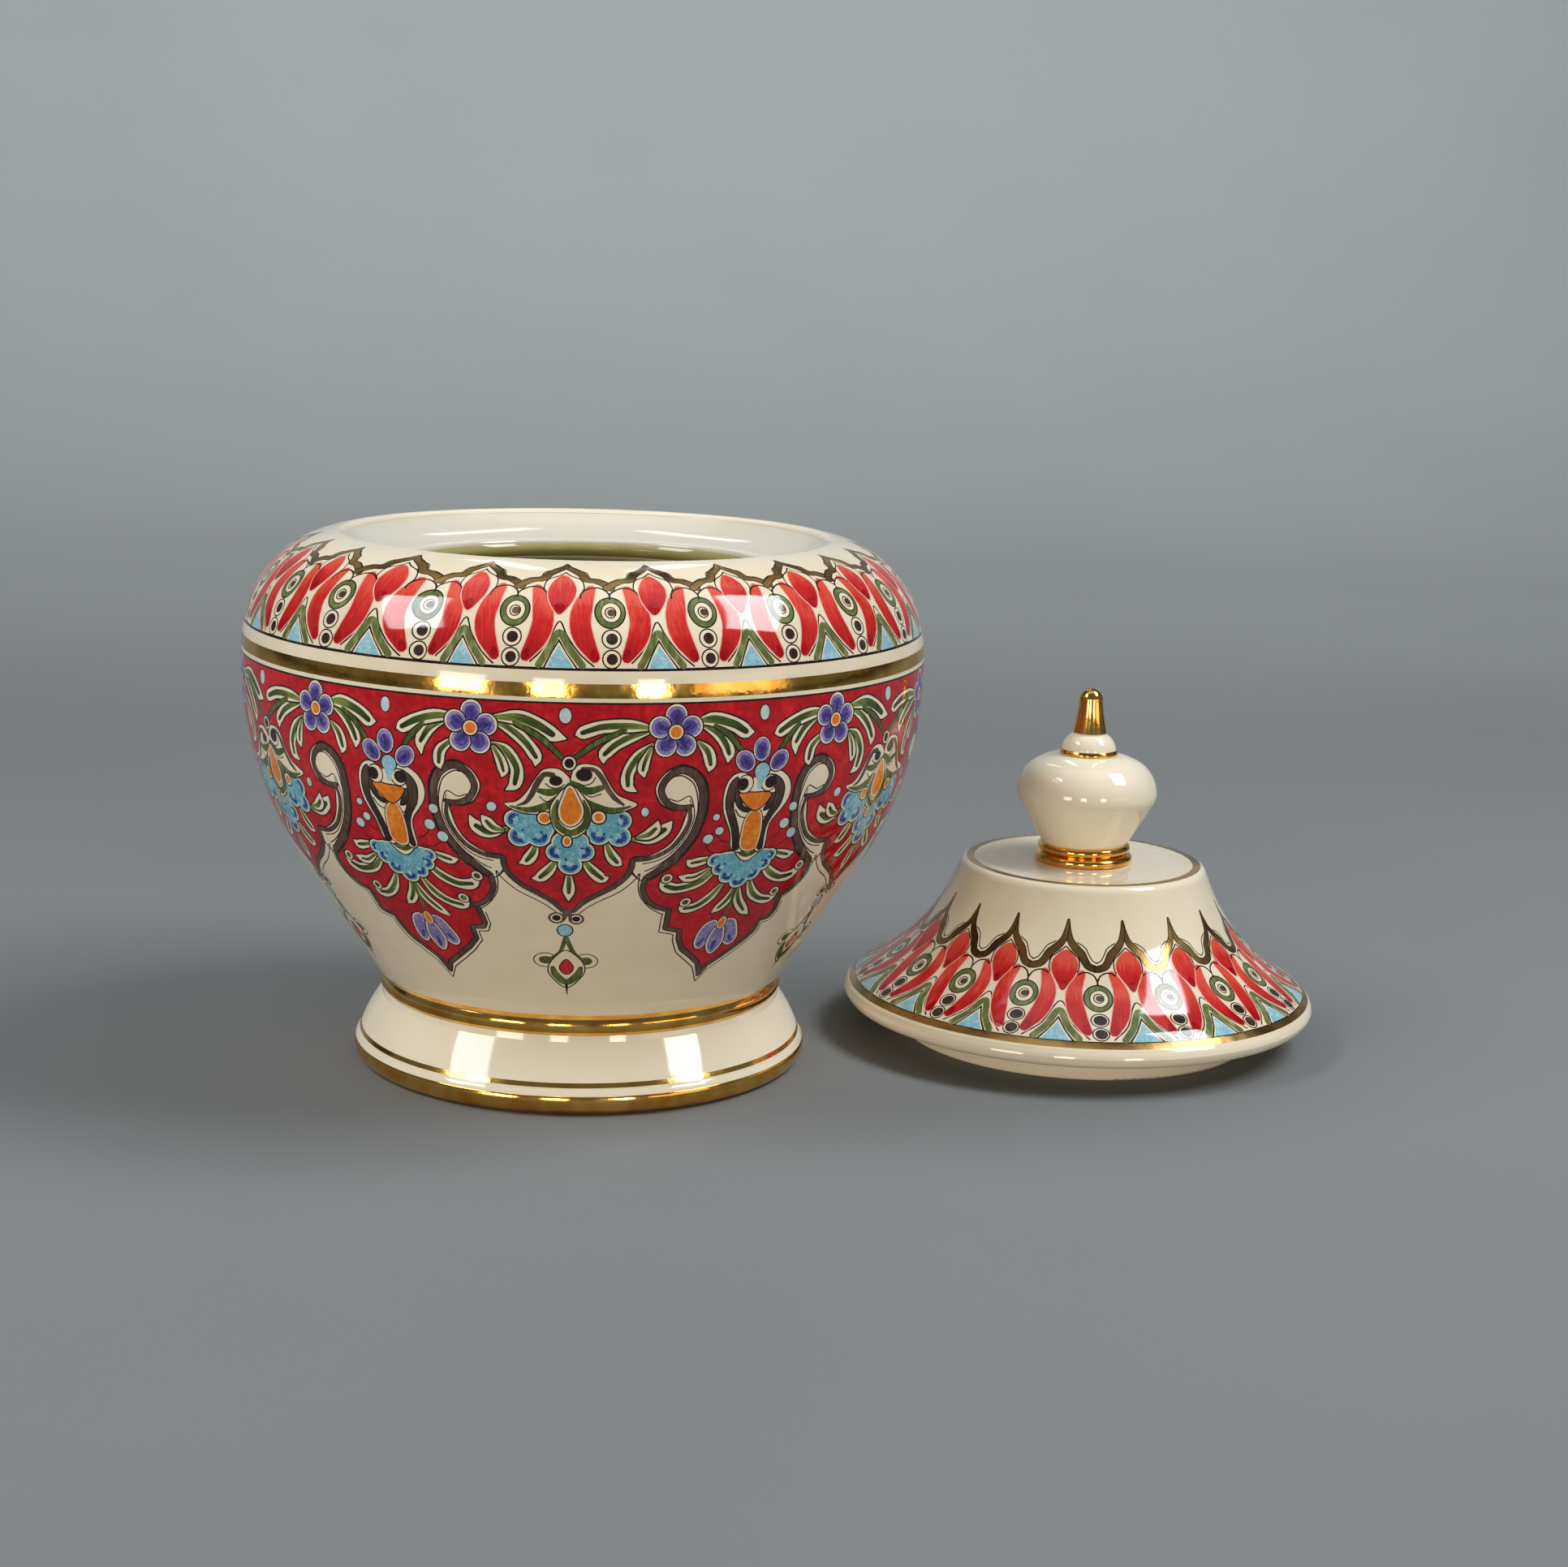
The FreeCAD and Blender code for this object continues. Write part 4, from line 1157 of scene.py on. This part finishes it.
def shoulder():
    """The petal border over the shoulder."""
    c = Canvas(jar_side, SHOULDER_UNITS, 0, -49.9, 0.0)
    c.band("gold", -3.4, 0.0)
    c.band("edge", -7.1, -6.4)
    arch(c,
         [(-7.2, -8.2), (-4.8, -10.6), (-2.4, -14.6), (-0.4, -18.2), (1.6, -14.4), (4.8, -10.2),
          (8.2, -7.4)],
         [(-5.0, -7.6), (-2.7, -11.4), (-0.4, -15.4), (2.3, -11.4), (5.4, -7.6)], 1.75,
         [(-4.0, -7.0), (-2.2, -10.6), (-0.4, -14.0), (1.6, -10.6), (4.3, -7.0)],
         [(-3.5, -7.0), (-1.9, -10.4), (-0.4, -13.1), (1.4, -10.4), (3.8, -7.0)],
         [(-3.1, -7.0), (-2.0, -9.6), (-1.1, -10.8), (-0.4, -12.4), (0.6, -10.9), (1.7, -9.4),
          (3.3, -7.0)])
    leaning_petals(c, [(6.3, -27.6), (4.9, -22.6), (4.4, -18), (5.5, -14), (8.2, -9.6)],
                   [2.4, 4.6, 5.0, 4.7, 2.6], [(4.6, -27.0), (8.2, -8.0)],
                   [(7.2, -10.0), (7.7, -11.6), (8.7, -10.8), (9.2, -9.2), (8.3, -8.6)])
    for k in (-0.5, 0.5):
        c.place(k * 360 / SHOULDER_UNITS)
        for y, r in ((-9.2, 2.0), (-14.0, 2.1)):
            bead(c, 0.2, y, r)
        eye(c, 0, -20.8, 3.45, 4.0, 2.6)
        for points in (
            [(0, -24.4), (0, -25.6), (0.7, -26.7), (2.9, -28.0), (5.1, -27.8), (6.8, -26.2),
             (7.3, -24.4)],
            [(0, -24.4), (0, -25.6), (-0.7, -27.0), (-2.7, -28.1), (-5.2, -27.6), (-6.6, -26.2),
             (-7.0, -24.6)],
        ):
            c.stroke("edge", points, 0.45)
    c.place(0)
    petal = [(-0.4, -32.6), (1.8, -30.6), (3.0, -27.2), (2.2, -23.6), (-0.7, -20.0), (-3.2, -23.4),
             (-3.7, -27.0), (-2.4, -30.6)]
    border_petal(c, curve(petal, closed=True), [(-0.4, -33.0), (-0.7, -20.0)],
                 [(-1.9, -22.6), (-0.7, -23.4), (0.6, -22.6), (0.0, -20.9), (-0.7, -20.4),
                  (-1.5, -20.9)])
    ridge(c, [(-0.2, -34.0), (1.4, -32.4), (3.9, -30.8), (4.8, -28.2), (4.4, -26.6)],
          [(0, -38.2), (0.6, -36.2), (2.3, -34.6), (3.9, -33.0), (5.0, -31.0), (7.2, -30.6),
           (9.4, -29.4), (11.2, -28.0)], [0.4, 1.5, 1.7, 1.7, 1.5, 1.4, 1.5, 1.6],
          [(0.4, -37.6), (2.4, -35.3), (4.8, -34.0), (6.0, -31.7), (8.0, -31.3), (10.0, -30.2),
           (11.2, -29.0)])
    return c


def skirt():
    """The petal border over the lid's skirt, and the fine gold line on its crown."""
    c = Canvas(lid_side, LID_UNITS, 0, -1.6, 55.0)
    c.band("olive", -0.6, 1.4)
    c.band("edge", 1.4, 1.7)
    c.band("olive", CROWN_LINE, CROWN_LINE + 2.2)
    arch(c,
         [(-8.4, 2.2), (-4.0, 6.6), (0.2, 15.0), (4.4, 6.6), (8.8, 2.2)],
         [(-5.5, 2.2), (-2.6, 6.2), (0.2, 12.0), (3.0, 6.2), (6.1, 2.2)], 1.8,
         [(-4.6, 1.6), (-2.0, 5.2), (0.2, 10.0), (2.4, 5.2), (5.0, 1.6)],
         [(-3.9, 1.7), (-1.7, 4.9), (0.2, 8.9), (2.1, 4.9), (4.3, 1.7)],
         [(-3.4, 1.7), (-2.0, 4.0), (-0.9, 5.6), (0.2, 8.0), (1.2, 5.7), (2.2, 4.2), (3.8, 1.7)])
    leaning_petals(c, [(4.6, 23.8), (3.3, 19.0), (3.7, 14.4), (5.3, 9.6), (7.9, 4.6)],
                   [2.0, 3.7, 4.3, 4.1, 2.4], [(3.2, 24.0), (8.0, 3.5)],
                   [(6.6, 5.4), (7.0, 7.4), (8.2, 6.8), (9.0, 4.8), (7.8, 4.0)])
    for k in (-0.5, 0.5):
        c.place(k * 360 / LID_UNITS)
        for y, r in ((4.1, 1.95), (8.9, 2.1)):
            bead(c, 0, y, r, 0.84)
        eye(c, 0, 16.2, 3.5, 4.1, 2.6)
        for side in (1, -1):
            points = [(0, 20.2), (0, 21.4), (0.9 * side, 23.4), (2.9 * side, 24.3), (4.9 * side, 23.4)]
            c.stroke("edge", points, 0.45)
    c.place(0)
    petal = [(0.2, 30.6), (2.2, 29.2), (3.4, 26.6), (3.2, 23.8), (1.9, 21.0), (0.2, 18.4), (-1.5, 21.0),
             (-2.9, 23.8), (-3.2, 26.6), (-1.9, 29.2)]
    border_petal(c, curve(petal, closed=True), [(0.2, 30.0), (0.2, 17.6)],
                 [(-0.9, 20.4), (0.2, 21.6), (1.4, 20.4), (0.9, 18.9), (0.2, 18.4), (-0.5, 18.9)])
    ridge(c, [(0, 31.6), (1.6, 30.0), (3.4, 28.2), (3.8, 25.6), (3.4, 24.0)],
          [(0, 39.0), (0.2, 36.4), (0.9, 33.4), (2.4, 31.2), (4.0, 29.6), (5.0, 27.6), (6.2, 26.0),
           (8.2, 25.2)], [0.3, 0.8, 1.3, 1.7, 1.7, 1.6, 1.6, 1.6],
          [(2.6, 32.9), (4.8, 31.4), (6.0, 29.2), (7.0, 27.7), (8.4, 27.0)])
    return c


skin("belly_painting", belly(), "jar")
skin("shoulder_painting", shoulder(), "jar", respaced(SHOULDER_UNITS, SHOULDER_EYES))
skin("skirt_painting", skirt(), "lid", respaced(LID_UNITS, LID_EYES))


# ---------------------------------------------------------------- gilding and plain glaze

STRIP_STEPS = 256           # faces in one round of a turned strip
FILM_TUCK = 0.1             # how far a film's ends reach back into the clay, mm
FLANK_ENDS = (6.95, 17.6)   # heights of the foot's flank at its toe and at its neck, mm
FLANK_FACING = (34.5, 39.0)  # how far its films are shaded to look up there, degrees


def spun(radius, height):
    """An outline's points, or directions, repeated all the way round an upright axis."""
    turn = 2 * math.pi * np.arange(STRIP_STEPS)[:, None] / STRIP_STEPS
    level = np.repeat(height[None, :], STRIP_STEPS, 0)
    return np.stack([radius * np.sin(turn), -radius * np.cos(turn), level], -1).reshape(-1, 3)


def turned_strip(name, outline, axis, body, paint, facing=None):
    """A thin turned piece from its outline; facing gives how far each point's surface looks up."""
    place = spun(outline[:, 0], outline[:, 1]) + (*axis, 0)
    tall = len(outline)
    faces = []
    for i in range(STRIP_STEPS):
        after = (i + 1) % STRIP_STEPS
        for j in range(tall - 1):
            faces.append((i * tall + j, after * tall + j, after * tall + j + 1, i * tall + j + 1))
    mesh = bpy.data.meshes.new(name)
    mesh.from_pydata((place * MM).tolist(), [], faces)
    mesh.materials.append(MATERIALS[paint])
    normals = None
    if facing is not None:
        looks_up = np.radians(facing)
        normals = spun(np.cos(looks_up), np.sin(looks_up))
    add_piece(name, mesh, body, normals)


def film(runs, lift):
    """An outline run lifted off the clay, with both ends tucked back in."""
    points = joined(runs)
    way = np.gradient(points, axis=0)
    way /= np.linalg.norm(way, axis=1)[:, None]
    out = np.stack([way[:, 1], -way[:, 0]], -1)
    first = points[0] - out[0] * FILM_TUCK
    last = points[-1] - out[-1] * FILM_TUCK
    return np.concatenate([[first], points + out * lift, [last]])


def foot_strip(name, runs, lift, paint, shaded_straight=False):
    """A film on the jar's foot; the flank's are shaded as if the flank were nearly straight."""
    outline = film(runs, lift)
    facing = np.interp(outline[:, 1], FLANK_ENDS, FLANK_FACING) if shaded_straight else None
    turned_strip(name, outline, JAR_AXIS, "jar", paint, facing)


toe_bead = arc((57.6, 0.0), (59.85, 6.7), 4.0, -1, 30)[3:25]
flank = arc((59.55, 6.95), (53.7, 17.6), 34.0, -1, 90)
fine_line = flank[(flank[:, 1] > 7.3) & (flank[:, 1] < 8.6)]
neck_bead = arc((53.3, 19.3), (53.5, 23.5), 3.4, -1)
throat = [arc((47.8, 134.5), (46.6, 133.3), 1.2, 1, 12)[4:], line((46.6, 133.3), (46.6, 129.8), 2)]
collar = [arc((7.75, 80.1), (7.95, 80.9), 0.55, -1, 12), line((7.95, 80.9), (7.6, 81.5), 6)]
foot_strip("toe_gilding", [toe_bead], 0.08, "gold")
foot_strip("flank_glaze", [flank], 0.04, "cream", True)
foot_strip("foot_line_gilding", [fine_line], 0.09, "gold", True)
foot_strip("neck_gilding", [neck_bead], 0.08, "gold")
# the throat's film carries the painted shade of the jar's inside
turned_strip("throat_shaded_film", film(throat, 0.05), JAR_AXIS, "jar", "inside")
turned_strip("collar_gilding", film(collar, 0.08), LID_AXIS, "lid", "gold")

# the CAD pieces' glazes, with painted shade on the gallery ring and inside the bowl; the rest are cream
GLAZE_OF = {"gallery_ring": "well", "knob_ring": "gold", "knob_finial": "gold", "bowl": "inside"}
for name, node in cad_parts.items():
    material = MATERIALS[GLAZE_OF.get(name, "cream")]
    if node.material_slots:
        for place in node.material_slots:
            place.material = material
    else:
        node.data.materials.append(material)


# ---------------------------------------------------------------- floor, lights and camera

def pale_floor():
    """Matt grey with faint clouds."""
    nodes = Nodes("pale_floor")
    shade = nodes.ramp(nodes.noise(6.0), [(0.3, colour(127, 129, 129)), (0.7, colour(129, 131, 131))])
    nodes.link(shade, nodes.shader.inputs["Base Color"])
    nodes.set(Roughness=0.8, Specular_IOR_Level=0.0)
    return nodes.material


def floor():
    """A pale sheet that runs back and curves up behind the object."""
    front = -3.0
    back = 1.1
    half_width = 4.0
    top = 3.5
    bend_radius = 0.8
    bend_steps = 16
    profile = [(front, 0.0), (back, 0.0)]
    for k in range(1, bend_steps + 1):
        t = k / bend_steps * math.pi / 2
        profile.append((back + bend_radius * math.sin(t), bend_radius - bend_radius * math.cos(t)))
    profile.append((back + bend_radius, top))
    verts = [(x, y, z) for y, z in profile for x in (-half_width, half_width)]
    faces = [(2 * i, 2 * i + 1, 2 * i + 3, 2 * i + 2) for i in range(len(profile) - 1)]
    mesh = bpy.data.meshes.new("floor")
    mesh.from_pydata(verts, [], faces)
    mesh.polygons.foreach_set("use_smooth", np.ones(len(faces), bool))
    mesh.materials.append(pale_floor())
    sheet = bpy.data.objects.new("floor", mesh)
    bpy.context.scene.collection.objects.link(sheet)


def softbox(name, towards, along, distance, size, watts, tint,
            aim=(JAR_AXIS[0] * MM, -0.03, 0.1), spread=180):
    """A rectangular light that faces its aim from one direction; along is its long side."""
    aim = Vector(aim)
    back = Vector(towards).normalized()
    long_side = Vector(along)
    long_side = (long_side - back * long_side.dot(back)).normalized()
    light = bpy.data.lights.new(name, "AREA")
    light.shape = "RECTANGLE"
    light.size, light.size_y = size
    light.energy = watts
    light.spread = math.radians(spread)
    light.color = tint
    lamp = bpy.data.objects.new(name, light)
    turn = Matrix((long_side.cross(back), long_side, back)).transposed().to_4x4()
    lamp.matrix_world = Matrix.Translation(aim + back * distance) @ turn
    bpy.context.scene.collection.objects.link(lamp)


def camera():
    """Level with the object's upper half, looking a little down, to the right and rolled a little."""
    down, aside, roll = (math.radians(a) for a in (11.26, 4.40, 1.73))
    level = math.cos(down)
    ahead = Vector((math.sin(aside) * level, math.cos(aside) * level, -math.sin(down)))
    right = Vector((math.cos(aside), -math.sin(aside), 0))
    up = right.cross(ahead)
    across = right * math.cos(roll) + up * math.sin(roll)
    over = up * math.cos(roll) - right * math.sin(roll)
    data = bpy.data.cameras.new("camera")
    data.lens = 60.88
    data.sensor_width = 36.0
    eye_point = bpy.data.objects.new("camera", data)
    stands = Matrix.Translation((JAR_AXIS[0] * MM, -0.7008, 0.2145))
    eye_point.matrix_world = stands @ Matrix((across, over, -ahead)).transposed().to_4x4()
    bpy.context.scene.collection.objects.link(eye_point)
    bpy.context.scene.camera = eye_point


# low, warm windows in front of the jar: direction, size in m, watts and tint
WINDOW_DISTANCE = 2.2
WINDOWS = (
    ("window_left", (-0.64, -0.77, 0.06), (0.6, 0.4), 1.7, (1.0, 0.88, 0.72)),
    ("window_middle", (-0.2, -0.98, 0.06), (0.38, 0.4), 1.15, (1.0, 0.88, 0.72)),
    ("window_right", (0.36, -0.93, 0.06), (0.34, 0.4), 1.05, (1.0, 0.88, 0.76)),
    ("warm_wall", (0.78, -0.63, 0.06), (1.3, 0.4), 0.45, (1.0, 0.82, 0.6)),
)

floor()
softbox("softbox_left", (-0.685, -0.149, 0.712), (-0.18, -0.433, -0.271), 1.5, (0.48, 0.8), 11.6,
        (0.93, 0.97, 1.0))
softbox("softbox_right", (0.635, -0.075, 0.768), (0.228, -0.53, -0.25), 1.5, (0.42, 0.92), 16.5,
        (0.93, 0.97, 1.0))
for name, towards, size, watts, tint in WINDOWS:
    softbox(name, towards, (0, 0, 1), WINDOW_DISTANCE, size, watts, tint, spread=80)
for side in (-1, 1):
    softbox("back_strip", (0.10 * side, 0.73, 0.68), (0, 0, 1), 1.5, (0.07, 0.5), 0.35, (1.0, 1.0, 1.0))
softbox("ceiling", (0, 0.1, 1.0), (1, 0, 0), 2.4, (1.6, 2.4), 7.0, (0.9, 0.96, 1.0))
softbox("backdrop_light", (0, -1.0, 0.24), (1, 0, 0), 1.9, (0.5, 3.0), 21.0, (0.94, 0.98, 1.0),
        (0, 1.9, 0.5), 96)
world = bpy.data.worlds.new("world")
world.use_nodes = True
background = world.node_tree.nodes["Background"]
background.inputs["Color"].default_value = (0.9, 0.95, 1.0, 1)
background.inputs["Strength"].default_value = 0.14
bpy.context.scene.world = world
bpy.context.scene.view_settings.view_transform = "Standard"
camera()

bpy.context.view_layer.update()
